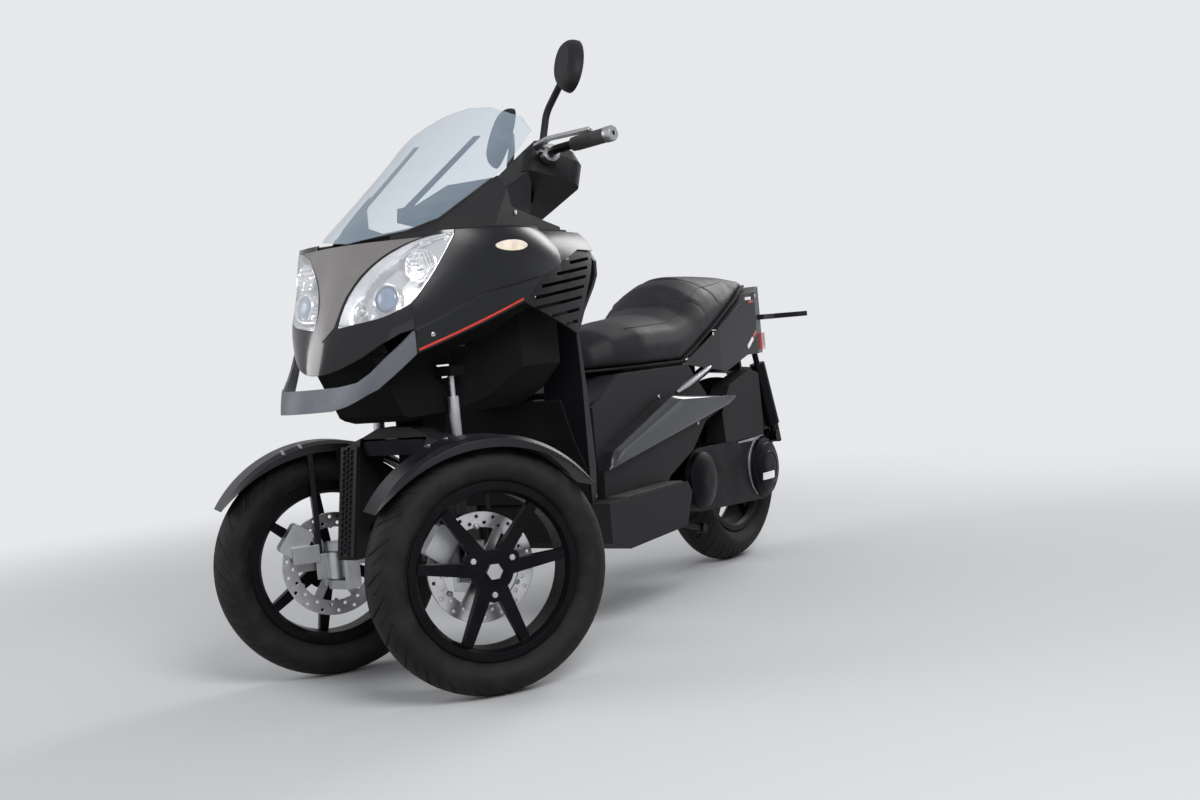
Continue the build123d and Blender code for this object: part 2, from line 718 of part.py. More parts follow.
# Cowl between the fairing and the screen, open under the screen
COWL_Z = BODY_ROWS[-1][0] + SEAT_GAP
DASH_Z = COWL_Z + SKIN + SEAT_GAP
COWL_FRONT = -66.9
with BuildPart() as cowl:
    for z, front, x0, x1, x2, back in ((COWL_Z, -72, 150, 224, 216, 496), (1150, 60, 150, 204, 200, 440)):
        with BuildSketch(Plane.XY.offset(z)):
            with BuildLine():
                Polyline(
                    (0, front), (x0 * 0.6, front + 40), (x0, front + 110), (x1, front + 220), (x2, back), (-x2, back),
                    (-x1, front + 220), (-x0, front + 110), (-x0 * 0.6, front + 40), close=True,
                )
            make_face()
    loft(ruled=True)
    for z, front, x0, x1, x2, back in ((COWL_Z, -66, 145, 219, 211, 480), (1160, 66, 145, 199, 195, 436)):
        with BuildSketch(Plane.XY.offset(z)):
            with BuildLine():
                Polyline(
                    (0, front), (x0 * 0.6, front + 40), (x0, front + 110), (x1, front + 220), (x2, back), (-x2, back),
                    (-x1, front + 220), (-x0, front + 110), (-x0 * 0.6, front + 40), close=True,
                )
            make_face()
    loft(ruled=True, mode=Mode.SUBTRACT)
    with BuildSketch(Plane.XY.offset(COWL_Z)):
        add(body_section(BODY_ROWS[-1], 1, 0))
        with BuildLine():
            Polyline(
                (0, -66), (88, -26), (120, 10), (300, 10), (300, 600), (-300, 600), (-300, 10), (-120, 10),
                (-88, -26), close=True,
            )
        make_face(mode=Mode.INTERSECT)
    extrude(amount=SKIN)
    with BuildSketch(Plane.YZ):
        with BuildLine():
            Polyline(
                (-140, 978), (COWL_FRONT, 978), (COWL_FRONT, 993.5), (40, 1016), (228, 1122), (236, 1048), (372, 1018),
                (SHOULDER[0], 1006), (SHOULDER[0], 980), (520, 980), (520, 1300), (-140, 1300), close=True,
            )
        make_face()
    extrude(amount=400, both=True, mode=Mode.SUBTRACT)
keep(cowl, "screen_cowl")

# Instrument pod between the screen and the bar, on a narrower foot
POD_HALF = 125
POD_FOOT = 70
with BuildPart() as dash:
    with BuildSketch(Plane.YZ):
        with BuildLine():
            Polyline((240, 1052), (246, 1086), (320, 1098), (452, 1152), (462, 1128), (445, 1052), (400, 1030), close=True)
        make_face()
    extrude(amount=POD_HALF, both=True)
    with BuildSketch(Plane.YZ):
        with BuildLine():
            Polyline((250, DASH_Z), (250, 1060), (400, 1060), (415, DASH_Z), close=True)
        make_face()
    extrude(amount=POD_FOOT, both=True)
keep(dash, "instrument_panel")

# Leg shield, wheel arch liner, floor
SHIELD_Y = BODY_BACK - 10 + SEAT_GAP
SHIELD_EDGE = [(200, FLOOR_Z), (196, 620), (190, 746), (212, 800), (246, 858), (258, 885), (259, 920), (236, 960)]
with BuildPart() as shield:
    with BuildSketch(Plane.YZ):
        with BuildLine():
            Polyline(
                (SHIELD_Y, 959), (BODY_BACK + 2, 954), (512, 760), (522, 420), (508, FLOOR_Z + SEAT_GAP),
                (488, FLOOR_Z + SEAT_GAP), (SHIELD_Y, 700), close=True,
            )
        make_face()
    extrude(amount=260, both=True)
    with BuildSketch(Plane.XZ):
        with BuildLine():
            Polyline(*SHIELD_EDGE, *[(-x, z) for x, z in reversed(SHIELD_EDGE)], close=True)
        make_face()
    extrude(amount=600, both=True, mode=Mode.INTERSECT)
    with BuildSketch(Plane.YZ):
        with BuildLine():
            Polyline(
                (SHOULDER[0] - 6, COWL_Z - SEAT_GAP), (SHOULDER[0], COWL_Z - SEAT_GAP), (SHIELD_Y + 1, 958.5),
                (SHIELD_Y + 1, 952), (SHOULDER[0] - 6, COWL_Z - 7), close=True,
            )
        make_face()
    extrude(amount=206, both=True)
    with BuildSketch(Plane.XZ.offset(-540)):
        with Locations((0, 360)):
            Rectangle(2 * SLOT_X, 700, align=(Align.CENTER, Align.MIN))
    extrude(amount=160, mode=Mode.SUBTRACT)
keep(shield, "leg_shield")

# Tray over the front wheels: its section from the front, from the side and its plan
TRAY_Z = 590
TRAY_X = 92
TRAY_BACK = 396
TRAY_TOP = 742


def tray_form(inset):
    """The closed form of the tray, with its surface inset by that much."""
    with BuildPart() as form:
        with BuildSketch(Plane.XZ.offset(200)):
            with BuildLine():
                half = [(76, TRAY_Z), (145, 625), (204, 684), (204, 880)]
                Polyline(*half, *[(-x, z) for x, z in reversed(half)], close=True)
            make_face()
            offset(amount=-inset)
        extrude(amount=-700)
        with BuildSketch(Plane.YZ):
            with BuildLine():
                Polyline((-150, 880), (-150, 750), (-62, 606), (-30, TRAY_Z), (460, TRAY_Z), (460, 880), close=True)
            make_face()
            offset(amount=-inset)
        extrude(amount=300, both=True, mode=Mode.INTERSECT)
        with BuildSketch(Plane.XY.offset(500)):
            with BuildLine():
                half = [(88, -150), (TRAY_X, -60), (TRAY_X, 120), (204, 240), (204, 460)]
                Polyline(*half, *[(-x, y) for x, y in reversed(half)], close=True)
            make_face()
            offset(amount=-inset)
        extrude(amount=400, mode=Mode.INTERSECT)
    return form.part


with BuildPart() as liner:
    add(tray_form(0))
    add(tray_form(SKIN), mode=Mode.SUBTRACT)
    with BuildSketch(Plane.YZ):
        with BuildLine():
            Polyline(
                (-200, TRAY_TOP), (150, TRAY_TOP), (270, TRAY_TOP + 90), (TRAY_BACK, TRAY_TOP + 110), (500, TRAY_TOP + 110),
                (500, 1000), (-200, 1000), close=True,
            )
        make_face()
    extrude(amount=250, both=True, mode=Mode.SUBTRACT)
    with BuildSketch(Plane.XZ.offset(-TRAY_BACK)):
        with Locations((0, 650)):
            Rectangle(500, 600)
    extrude(amount=-200, mode=Mode.SUBTRACT)
    with BuildSketch(Plane.YZ):
        with Locations((TOWER_FRONT + 25, 690)):
            Rectangle(50 + 8, 22 + 8)
    extrude(amount=CYL_X, both=True, mode=Mode.SUBTRACT)
    with BuildSketch(Plane.XY.offset(TRAY_Z - 10)):
        with Locations((0, (TOWER_FRONT + 150) / 2)):
            Rectangle(2 * TOWER_X + 8, 150 - TOWER_FRONT + 8)
        with Locations((-CYL_X, LEG_BACK + 14 + SEAT_GAP), (CYL_X, LEG_BACK + 14 + SEAT_GAP)):
            Circle(18)
    extrude(amount=50, mode=Mode.SUBTRACT)
    with BuildSketch(Plane.YZ):
        with BuildLine():
            Polyline(
                (TRAY_BACK - 4, TRAY_Z), (430, 500), (478, 420), (478, FLOOR_Z + SEAT_GAP), (482, FLOOR_Z + SEAT_GAP),
                (482, 422), (434, 502), (TRAY_BACK, TRAY_Z + SKIN), (TRAY_BACK - 4, TRAY_Z + SKIN), close=True,
            )
        make_face()
    extrude(amount=196, both=True)
keep(liner, "arch_liner")

with BuildPart() as floors:
    for side in SIDES.values():
        with BuildSketch(Plane.YZ.offset(side * FLOOR_IN)):
            with BuildLine():
                Polyline(
                    (478, FLOOR_Z), (560, FLOOR_Z), (880, FLOOR_Z), (900, 300), (860, 215), (560, BELLY_Z), (478, 232),
                    close=True,
                )
            make_face()
        extrude(amount=side * (FLOOR_X - FLOOR_IN))
keep(floors, "footboards")

# Pin that the seat turns on: half length of its barrel, Y and Z, radius
HINGE_X = 24
HINGE_Y = 735
HINGE_Z = 648
HINGE_PIN_R = 3
with BuildPart() as tunnel:
    with BuildSketch(Plane.YZ):
        with BuildLine():
            Polyline(
                (522 + SEAT_GAP, 420), (560, 560), (700, 600), (780, 632), (840, 632), (840, 600), (790, 592),
                (600, 520), (572, 336), (509 + SEAT_GAP, 336), close=True,
            )
        make_face()
    extrude(amount=FLOOR_IN, both=True)
    with BuildSketch(Plane.XZ.offset(-520)):
        with Locations((0, 430)):
            Rectangle(90, 300)
    extrude(amount=-200, mode=Mode.SUBTRACT)
    for side in SIDES.values():
        with BuildSketch(Plane.YZ.offset(side * (HINGE_X + SEAT_GAP))):
            with BuildLine():
                Polyline((HINGE_Y - 9, HINGE_Z), (HINGE_Y - 14, 600), (HINGE_Y + 14, 610), (HINGE_Y + 9, HINGE_Z), close=True)
            make_face()
            with Locations((HINGE_Y, HINGE_Z)):
                Circle(9)
        extrude(amount=side * 8)
    with BuildSketch(Plane.YZ.offset(-HINGE_X - 4)):
        with Locations((HINGE_Y, HINGE_Z)):
            Circle(HINGE_PIN_R)
    extrude(amount=2 * HINGE_X + 8)
keep(tunnel, "centre_tunnel")

with BuildPart() as belly:
    with BuildSketch(Plane.YZ):
        with BuildLine():
            Polyline((486, 326), (486, 232), (560, BELLY_Z), (880, BELLY_Z), (880, 208), (562, 208), (489, 234), (489, 326), close=True)
        make_face()
    extrude(amount=FLOOR_IN - SEAT_GAP, both=True)
keep(belly, "belly_pan")

# Side panels: a raised slender wedge, a lower panel under it and a flat one up to the seat
PANEL_X = 168
with BuildPart() as side_panels:
    for side in SIDES.values():
        with BuildSketch(Plane.YZ.offset(side * PANEL_X)):
            with BuildLine():
                Polyline((565, 400), (595, 447), (920, 560), (1306, 528), (1259, 507), close=True)
            make_face()
        extrude(amount=side * 40)
        with BuildSketch(Plane.YZ.offset(side * PANEL_X)):
            with BuildLine():
                Polyline(
                    (565, 400), (1259, 507), (1128, 472), (1036, 398), (900, FLOOR_Z + 15), (880, FLOOR_Z + SEAT_GAP),
                    (560, FLOOR_Z + SEAT_GAP), close=True,
                )
            make_face()
        extrude(amount=side * 26)
        with BuildSketch(Plane.YZ.offset(side * PANEL_X)):
            with BuildLine():
                Polyline(
                    (560, 420), (560, 560), (700, TAIL_LOW - SEAT_GAP), (1078, TAIL_LOW - SEAT_GAP), (1180, 540),
                    (920, 520), (565, 400), close=True,
                )
            make_face()
        extrude(amount=side * 10)
keep(side_panels, "side_panels")

# Storage tub under the seat, open at the top: half width, front, back, floor, rim
TUB_X = RAIL_X - RAIL_R - SEAT_GAP
TUB_FRONT = 850
TUB_BACK = 1290
TUB_LOW = 430
TUB_HIGH = 644 - SEAT_GAP
with BuildPart() as tub:
    with BuildSketch(Plane.XY.offset(TUB_LOW)):
        with Locations((0, (TUB_FRONT + TUB_BACK) / 2)):
            RectangleRounded(2 * TUB_X, TUB_BACK - TUB_FRONT, 20)
    extrude(amount=TUB_HIGH - TUB_LOW)
    with BuildSketch(Plane.XY.offset(TUB_LOW + SKIN)):
        with Locations((0, (TUB_FRONT + TUB_BACK) / 2)):
            RectangleRounded(2 * (TUB_X - SKIN), TUB_BACK - TUB_FRONT - 2 * SKIN, 20 - SKIN)
    extrude(amount=TUB_HIGH - TUB_LOW, mode=Mode.SUBTRACT)
keep(tub, "storage_tub")

# Tail, a shell open below and in front
def tail_plan(inset):
    """Points round the tail seen from above, inset by that much."""
    left = [(x - inset, y + (inset if y == TAIL_PLAN[0][0] else -inset if y == TAIL_BACK else 0)) for y, x in TAIL_PLAN]
    return left + [(-x, y) for x, y in reversed(left)]


with BuildPart() as deck:
    with BuildSketch(Plane.YZ):
        with BuildLine():
            Polyline(
                (1300, 730), (1545, 828), (1660, 850), (1800, 850), (1800, 850 - SKIN), (1660, 850 - SKIN),
                (1545, 828 - SKIN), (1300, 730 - SKIN), close=True,
            )
        make_face()
    extrude(amount=300, both=True)
    with BuildSketch(Plane.XY.offset(600)):
        with BuildLine():
            Polyline(*tail_plan(0), close=True)
        make_face()
    extrude(amount=300, mode=Mode.INTERSECT)

with BuildPart() as tail:
    with BuildSketch(Plane.XY.offset(540)):
        with BuildLine():
            Polyline(*tail_plan(0), close=True)
        make_face()
        with BuildLine():
            Polyline(*tail_plan(SKIN), close=True)
        make_face(mode=Mode.SUBTRACT)
    extrude(amount=400)
    with BuildSketch(Plane.YZ):
        with BuildLine():
            Polyline(
                (1060, 640), (1072, 640), (1200, 690), (1545, 828), (1660, 850), (1800, 850), (1780, 790), (1690, 640),
                (1500, 640), (1330, 600), (1080, TAIL_LOW), (1060, TAIL_LOW), close=True,
            )
        make_face()
    extrude(amount=300, both=True, mode=Mode.INTERSECT)
    add(deck.part)
keep(tail, "tail_fairing")

# Tail lamps round the rear corners: Y along the wall and how far out from it
LAMP_WALL = [
    (1620, SEAT_GAP), (1699, SEAT_GAP), (1701, SEAT_GAP), (1764, SEAT_GAP), (1772, 9), (1701, 10), (1699, 10),
    (1626, 8),
]
with BuildPart() as tail_lamps:
    for side in SIDES.values():
        with BuildSketch(Plane.XY.offset(650)):
            with BuildLine():
                walls = [tail_wall(y, out) for y, out in LAMP_WALL]
                Polyline(*[(side * x, y) for x, y in walls], close=True)
            make_face()
        extrude(amount=52)
keep(tail_lamps, "tail_lamps")

with BuildPart() as grabs:
    for side in SIDES.values():
        with BuildSketch(Plane.XY.offset(744)):
            with BuildLine():
                root = [tail_wall(y, SEAT_GAP) for y in (1650, 1699, 1701, 1755)]
                blade = [*root, (118, 1800), (158, 1890), (168, 1946), (176, 1942), (168, 1880), (142, 1760), (150, 1660)]
                Polyline(*[(side * x, y) for x, y in blade], close=True)
            make_face()
        extrude(amount=16)
keep(grabs, "grab_rails")

with BuildPart() as mudguard:
    with BuildSketch(Plane.YZ):
        with BuildLine():
            Polyline(
                (1626, 708 - RAIL_R - SEAT_GAP), (1640, 708 - RAIL_R - SEAT_GAP), (1652, 600), (1790, 588),
                (1850, 530), (1904, 336), (1892, 333), (1838, 522), (1782, 577), (1640, 589), close=True,
            )
        make_face()
    extrude(amount=62, both=True)
keep(mudguard, "rear_mudguard")

# Engine, drive case on the left with the rear axle, arm on the right
AXLE = Vector(0, WHEELBASE, REAR_R)
CASE_IN = 90.3
CASE_OUT = 180
CASE_T = 60
with BuildPart() as engine:
    with BuildSketch(Plane.XY.offset(262)):
        with Locations((0, ENGINE_FRONT)):
            Rectangle(180, 236, align=(Align.CENTER, Align.MIN))
    extrude(amount=160)
    with BuildSketch(Plane.YZ):
        with Locations((1085, 220)):
            Rectangle(40, 90)
    extrude(amount=60, both=True)
    with BuildSketch(Plane.YZ):
        with Locations((1085, 190)):
            Circle(12.3)
    extrude(amount=100, both=True, mode=Mode.SUBTRACT)
keep(engine, "engine_block")

with BuildPart() as case:
    with BuildSketch(Plane.YZ.offset(CASE_IN)):
        with BuildLine():
            Polyline(
                (1150, 210), (AXLE.Y, AXLE.Z - 100), (AXLE.Y, AXLE.Z + 100), (1150, 392), close=True,
            )
        make_face()
        with Locations((1150, 301)):
            Circle(91)
        with Locations((AXLE.Y, AXLE.Z)):
            Circle(100)
        with Locations((AXLE.Y + 80, AXLE.Z + 88)):
            Circle(24)
    extrude(amount=CASE_T)
    for y, z, radius in ((AXLE.Y, AXLE.Z, 92), (1150, 301, 82)):
        face = (CASE_IN + CASE_T, y, z)
        rise = CASE_OUT - CASE_IN - CASE_T
        with BuildSketch(Plane(origin=face, x_dir=(0, 0, 1), z_dir=(0, 1, 0))):
            with BuildLine():
                Polyline((20, rise), (0, rise), (0, 0), (radius, 0), (radius - 3, rise * 0.4))
                ThreePointArc((radius - 3, rise * 0.4), (radius * 0.62, rise * 0.84), (20, rise))
            make_face()
        revolve(axis=Axis(face, (1, 0, 0)))
keep(case, "drive_case")

with BuildPart() as arm:
    with BuildSketch(Plane.YZ.offset(-112)):
        with BuildLine():
            Polyline((1200, 270), (AXLE.Y, AXLE.Z - 28), (AXLE.Y, AXLE.Z + 28), (1200, 350), close=True)
        make_face()
        with Locations((AXLE.Y, AXLE.Z)):
            Circle(30)
        with Locations((AXLE.Y + 80, AXLE.Z + 88)):
            Circle(18)
        with BuildLine():
            Polyline((AXLE.Y - 10, AXLE.Z + 20), (AXLE.Y + 66, AXLE.Z + 98), (AXLE.Y + 92, AXLE.Z + 76), (AXLE.Y + 28, AXLE.Z), close=True)
        make_face()
    extrude(amount=21.7)
    with BuildSketch(Plane.YZ.offset(-112)):
        with Locations((AXLE.Y, AXLE.Z)):
            Circle(AXLE_R)
    extrude(amount=112 + CASE_IN - SEAT_GAP)
keep(arm, "swing_arm")

with BuildPart() as shocks:
    for side, inner in ((1, CASE_IN + CASE_T + SEAT_GAP), (-1, 112 + SEAT_GAP)):
        x = side * (inner + 12)
        low = Vector(x, AXLE.Y + 80, AXLE.Z + 88)
        high = Vector(side * 134, 1585, 690)
        with BuildSketch(Plane.YZ.offset(side * inner)):
            with Locations((low.Y, low.Z)):
                Circle(16)
        extrude(amount=side * 24)
        run = high - low
        with BuildSketch(Plane(origin=low, z_dir=run)):
            Circle(9)
        extrude(amount=run.length)
        with BuildSketch(Plane(origin=low + run * 0.12, z_dir=run)):
            Circle(24)
        extrude(amount=run.length * 0.62)
        with BuildSketch(Plane.YZ.offset(side * 125.3)):
            with Locations((1585, 690)):
                Circle(12)
        extrude(amount=side * 16)
keep(shocks, "rear_shocks")


def case_top(y):
    """Height of the drive case's upper edge at that Y."""
    return 392 + (AXLE.Z + 100 - 392) * (y - 1150) / (AXLE.Y - 1150)


with BuildPart() as airbox:
    with BuildSketch(Plane.YZ.offset(104)):
        with BuildLine():
            Polyline(
                (1300, case_top(1300) + SEAT_GAP), (1556, case_top(1556) + SEAT_GAP), (1562, 440), (1556, 580),
                (1500, 594), (1350, 556), (1290, 480), close=True,
            )
        make_face()
    extrude(amount=60)
keep(airbox, "air_box")

with BuildPart() as muffler:
    with BuildSketch(Plane(origin=(-215, 1330, 300), x_dir=(1, 0, 0), z_dir=(0, 1, 0.16))):
        Ellipse(62, 46)
    extrude(amount=470)
    with BuildSketch(Plane(origin=(-215, 1330, 300), x_dir=(1, 0, 0), z_dir=(0, -1, -0.16))):
        Ellipse(62, 46)
    extrude(amount=60, taper=30)
    with BuildSketch(Plane.YZ.offset(-112.3)):
        with Locations((AXLE.Y - 60, AXLE.Z + 26)):
            Circle(10)
    extrude(amount=-50)
keep(muffler, "muffler")

# Centre stand, folded under the engine
STAND_Y = 1085
STAND_Z = 190
STAND_X = 78
with BuildPart() as stand:
    with BuildSketch(Plane.YZ.offset(-STAND_X - 11)):
        with Locations((STAND_Y, STAND_Z)):
            Circle(12)
    extrude(amount=2 * (STAND_X + 11))
    for side in SIDES.values():
        foot = Vector(side * STAND_X, STAND_Y + 172, STAND_Z - 46)
        hinge = Vector(side * STAND_X, STAND_Y, STAND_Z)
        with BuildSketch(Plane(origin=hinge, z_dir=foot - hinge)):
            Circle(9)
        extrude(amount=(foot - hinge).length)
        with BuildSketch(Plane.YZ.offset(side * (STAND_X - 14))):
            with Locations((foot.Y, foot.Z)):
                Circle(14)
        extrude(amount=side * 28)
    with BuildSketch(Plane.YZ.offset(-STAND_X)):
        with Locations((STAND_Y + 90, STAND_Z - 24)):
            Circle(8)
    extrude(amount=2 * STAND_X)
keep(stand, "centre_stand")

# Seat, hinged at its front: Y and half width of the plan
SEAT_PLAN = [(736, 56), (790, 110), (900, 150), (1080, 168), (1300, 160), (1500, 140), (1640, 100)]
SEAT_LOW = [(736, 644), (1072, 644), (1200, 694), (1545, 832), (1640, 852)]
PAN_T = 6


def seat_plan():
    left = [(x, y) for y, x in SEAT_PLAN]
    return left + [(-x, y) for x, y in reversed(left)]


with BuildPart() as pan:
    with BuildSketch(Plane.YZ):
        with BuildLine():
            Polyline(*SEAT_LOW, *[(y, z + PAN_T) for y, z in reversed(SEAT_LOW)], close=True)
        make_face()
    extrude(amount=200, both=True)
    with BuildSketch(Plane.XY.offset(600)):
        with BuildLine():
            Polyline(*seat_plan(), close=True)
        make_face()
    extrude(amount=400, mode=Mode.INTERSECT)
    with BuildSketch(Plane.YZ.offset(-HINGE_X)):
        with Locations((HINGE_Y, HINGE_Z)):
            Circle(7)
    extrude(amount=2 * HINGE_X)
    with BuildSketch(Plane.YZ.offset(-HINGE_X)):
        with Locations((HINGE_Y, HINGE_Z)):
            Circle(HINGE_PIN_R + RUN_GAP)
    extrude(amount=2 * HINGE_X, mode=Mode.SUBTRACT)
    with BuildSketch(Plane.XY.offset(600)):
        with Locations((-HINGE_X - 6, HINGE_Y), (HINGE_X + 6, HINGE_Y)):
            Rectangle(12, 24)
    extrude(amount=100, mode=Mode.SUBTRACT)
keep(pan, "seat_pan")

def seat_low(y):
    """Height of the seat pan's underside at that Y."""
    for (y0, z0), (y1, z1) in zip(SEAT_LOW, SEAT_LOW[1:]):
        if y0 <= y <= y1:
            return z0 + (z1 - z0) * (y - y0) / (y1 - y0)


# Y, half width, height of the shoulders and of the crown
SEAT_ROWS = [
    (752, 64, 700, 722), (800, 112, 726, 760), (900, 150, 738, 776), (1072, 168, 742, 784), (1150, 168, 762, 812),
    (1215, 166, 806, 868), (1280, 162, 828, 892), (1400, 150, 838, 892), (1545, 132, 858, 888), (1636, 100, 868, 880),
]
with BuildPart() as cushion:
    for y, half, shoulder, crown in SEAT_ROWS:
        with BuildSketch(Plane.XZ.offset(-y)):
            with BuildLine():
                low = seat_low(y) + PAN_T + SEAT_GAP
                Polyline((-half * 0.9, shoulder), (-half, (low + shoulder) / 2), (6 - half, low), (half - 6, low))
                Polyline((half - 6, low), (half, (low + shoulder) / 2), (half * 0.9, shoulder))
                ThreePointArc((half * 0.9, shoulder), (0, crown), (-half * 0.9, shoulder))
            make_face()
    loft(ruled=True)
keep(cushion, "seat_cushion")

# Steering stem and bar, turned with the wheels about the column
BACK = Vector(0, cos(radians(RAKE)), -sin(radians(RAKE)))
BAR_PLANE = Plane(origin=BAR_POINT, x_dir=Vector(cos(TURN), 0, 0) + BACK * sin(TURN), z_dir=COLUMN)
STEM_TOP = -46
HEAD_LEN = (BAR_POINT - HEAD_LOW).length
with BuildPart() as stem:
    with BuildSketch(BAR_PLANE.offset(-HEAD_LEN - 30)):
        Circle(STEM_R)
    extrude(amount=HEAD_LEN + 30 + STEM_TOP)
    with BuildSketch(BAR_PLANE.offset(-HEAD_LEN - 18)):
        Circle(24)
    extrude(amount=16)
    with BuildSketch(BAR_PLANE.offset(STEM_TOP - 30)):
        RectangleRounded(90, 50, 10)
    extrude(amount=30)
keep(stem, "steering_stem")

COVER_W = 330
COVER_L = 156
COVER_BACK = 26
COVER_Z = 14
COVER_TOP = 48.3
BAR_PATH = [(-BAR_HALF, 80, 0), (-215, 0, 0), (215, 0, 0), (BAR_HALF, 80, 0)]
with BuildPart() as bar:
    add(tube([BAR_PLANE.from_local_coords(Vector(*p)) for p in BAR_PATH], BAR_R, 60))
keep(bar, "handlebar")

with BuildPart() as cover:
    for low, high, taper in ((STEM_TOP + SEAT_GAP, COVER_Z, 0), (COVER_Z, COVER_TOP, 35)):
        with BuildSketch(BAR_PLANE.offset(low)):
            with Locations((0, COVER_BACK)):
                RectangleRounded(COVER_W, COVER_L, 34)
        extrude(amount=high - low, taper=taper)
    ends = [BAR_PLANE.from_local_coords(Vector(end * 200, 0, 0)) for end in (-1, 1)]
    add(tube(ends, BAR_R + SEAT_GAP, 60), mode=Mode.SUBTRACT)
keep(cover, "bar_cover")

GRIP_DIR = Vector(BAR_HALF - 215, 80, 0).normalized()
with BuildPart() as grips:
    for side in SIDES.values():
        along = Vector(side * GRIP_DIR.X, GRIP_DIR.Y, 0)
        end = Vector(side * BAR_HALF, 80, 0)
        start = BAR_PLANE.from_local_coords(end - along * GRIP_L)
        finish = BAR_PLANE.from_local_coords(end - along * SEAT_GAP)
        with BuildSketch(Plane(origin=start, z_dir=finish - start)):
            Circle(GRIP_R)
            Circle(BAR_R + SEAT_GAP, mode=Mode.SUBTRACT)
        extrude(amount=(finish - start).length)
keep(grips, "grips")

with BuildPart() as levers:
    for side in SIDES.values():
        with BuildSketch(BAR_PLANE.offset(-4)):
            with BuildLine():
                Polyline(
                    (side * 190, -20), (side * 190, -40), (side * 206, -52), (side * 260, -42), (side * 372, 22), (side * 366, 34),
                    (side * 262, -28), (side * 222, -34), (side * 214, -14), close=True,
                )
            make_face()
        extrude(amount=8)
        perch = BAR_PLANE.from_local_coords(Vector(side * 174, 0, 0))
        with BuildSketch(Plane(origin=perch, x_dir=BAR_PLANE.y_dir, z_dir=BAR_PLANE.x_dir * side)):
            Circle(BAR_R + 11)
            with Locations((-BAR_R - 10, 0)):
                Rectangle(20, 14)
            Circle(BAR_R + RUN_GAP, mode=Mode.SUBTRACT)
        extrude(amount=24)
keep(levers, "brake_levers")

# Mirrors: depth behind the glass and size of each section of the head
MIRROR_HALF = 58
MIRROR_HIGH = 86
MIRROR_ROWS = [(0, 1), (14, 0.97), (34, 0.72)]
with BuildPart() as mirrors:
    for side in SIDES.values():
        with BuildSketch(BAR_PLANE.offset(COVER_TOP + SEAT_GAP)):
            with Locations((side * 120, 0)):
                Circle(13)
        extrude(amount=12)
        stalk = [(120, 0, 54), (122, -2, 140), (178, 8, 206)]
        add(tube([BAR_PLANE.from_local_coords(Vector(side * x, y, z)) for x, y, z in stalk], 9, 60))
        middle = BAR_PLANE.from_local_coords(Vector(side * 236, 12, 226))
        glass = Plane(origin=middle, x_dir=BAR_PLANE.x_dir, z_dir=BAR_PLANE.y_dir)
        for depth, share in MIRROR_ROWS:
            with BuildSketch(glass.offset(-depth)):
                with Locations(Location((side * 4, 6), -side * 34)):
                    Ellipse(MIRROR_HALF * share, MIRROR_HIGH * share)
        loft()
keep(mirrors, "mirrors")

for piece in PIECES:
    label = piece.label
    placed = Pos(-ORIGIN_X, -ORIGIN_Y, 0) * piece
    placed.label = label
    export_step(placed, "parts/" + label + ".step")
box = Compound(children=[Pos(0, 0, 0) * piece for piece in PIECES]).bounding_box()
print("pieces", len(PIECES), "box", box)
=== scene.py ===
import json
from math import cos, pi, radians, sin

import bmesh
import bpy
import numpy as np
from mathutils import Matrix, Vector
from mathutils.bvhtree import BVHTree


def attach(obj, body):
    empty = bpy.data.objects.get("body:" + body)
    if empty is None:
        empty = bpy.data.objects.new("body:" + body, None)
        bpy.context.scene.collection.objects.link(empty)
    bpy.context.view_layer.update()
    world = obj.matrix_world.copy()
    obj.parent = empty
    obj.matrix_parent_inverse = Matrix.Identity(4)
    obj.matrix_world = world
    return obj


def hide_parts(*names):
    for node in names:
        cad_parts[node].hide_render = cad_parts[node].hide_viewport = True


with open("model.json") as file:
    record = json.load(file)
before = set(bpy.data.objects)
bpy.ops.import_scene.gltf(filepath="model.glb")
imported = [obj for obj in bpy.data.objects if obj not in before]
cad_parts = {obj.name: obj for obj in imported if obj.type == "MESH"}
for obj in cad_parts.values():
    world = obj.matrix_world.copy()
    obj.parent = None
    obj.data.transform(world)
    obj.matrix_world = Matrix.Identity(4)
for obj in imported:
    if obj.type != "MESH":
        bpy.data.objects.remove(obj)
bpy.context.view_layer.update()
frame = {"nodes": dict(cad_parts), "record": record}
scene = bpy.context.scene

# Camera at the photograph's place, in metres and degrees
CAMERA_AT = (2.06506, -3.23038, 0.73329)
CAMERA_YAW = 32.14
CAMERA_PITCH = -2.53
CAMERA_ROLL = -5.21
LENS_MM = 42.20


def add_camera():
    """The view direction comes from yaw and pitch, and the roll turns the picture about it."""
    yaw, pitch, roll = radians(CAMERA_YAW), radians(CAMERA_PITCH), radians(CAMERA_ROLL)
    ahead = Vector((-sin(yaw) * cos(pitch), cos(yaw) * cos(pitch), sin(pitch)))
    level = Vector((cos(yaw), sin(yaw), 0))
    above = level.cross(ahead)
    across = level * cos(roll) + above * sin(roll)
    upward = above * cos(roll) - level * sin(roll)
    data = bpy.data.cameras.new("camera")
    data.lens = LENS_MM
    data.sensor_width = 36
    camera = bpy.data.objects.new("camera", data)
    facing = Matrix((across, upward, -ahead)).transposed().to_4x4()
    camera.matrix_world = Matrix.Translation(CAMERA_AT) @ facing
    scene.collection.objects.link(camera)
    scene.camera = camera


def add_lamp(name, place, aim, size, watts):
    data = bpy.data.lights.new(name, "AREA")
    data.shape = "DISK"
    data.size = size
    data.energy = watts
    lamp = bpy.data.objects.new(name, data)
    lamp.location = place
    lamp.rotation_euler = (Vector(aim) - Vector(place)).to_track_quat("-Z", "Y").to_euler()
    scene.collection.objects.link(lamp)


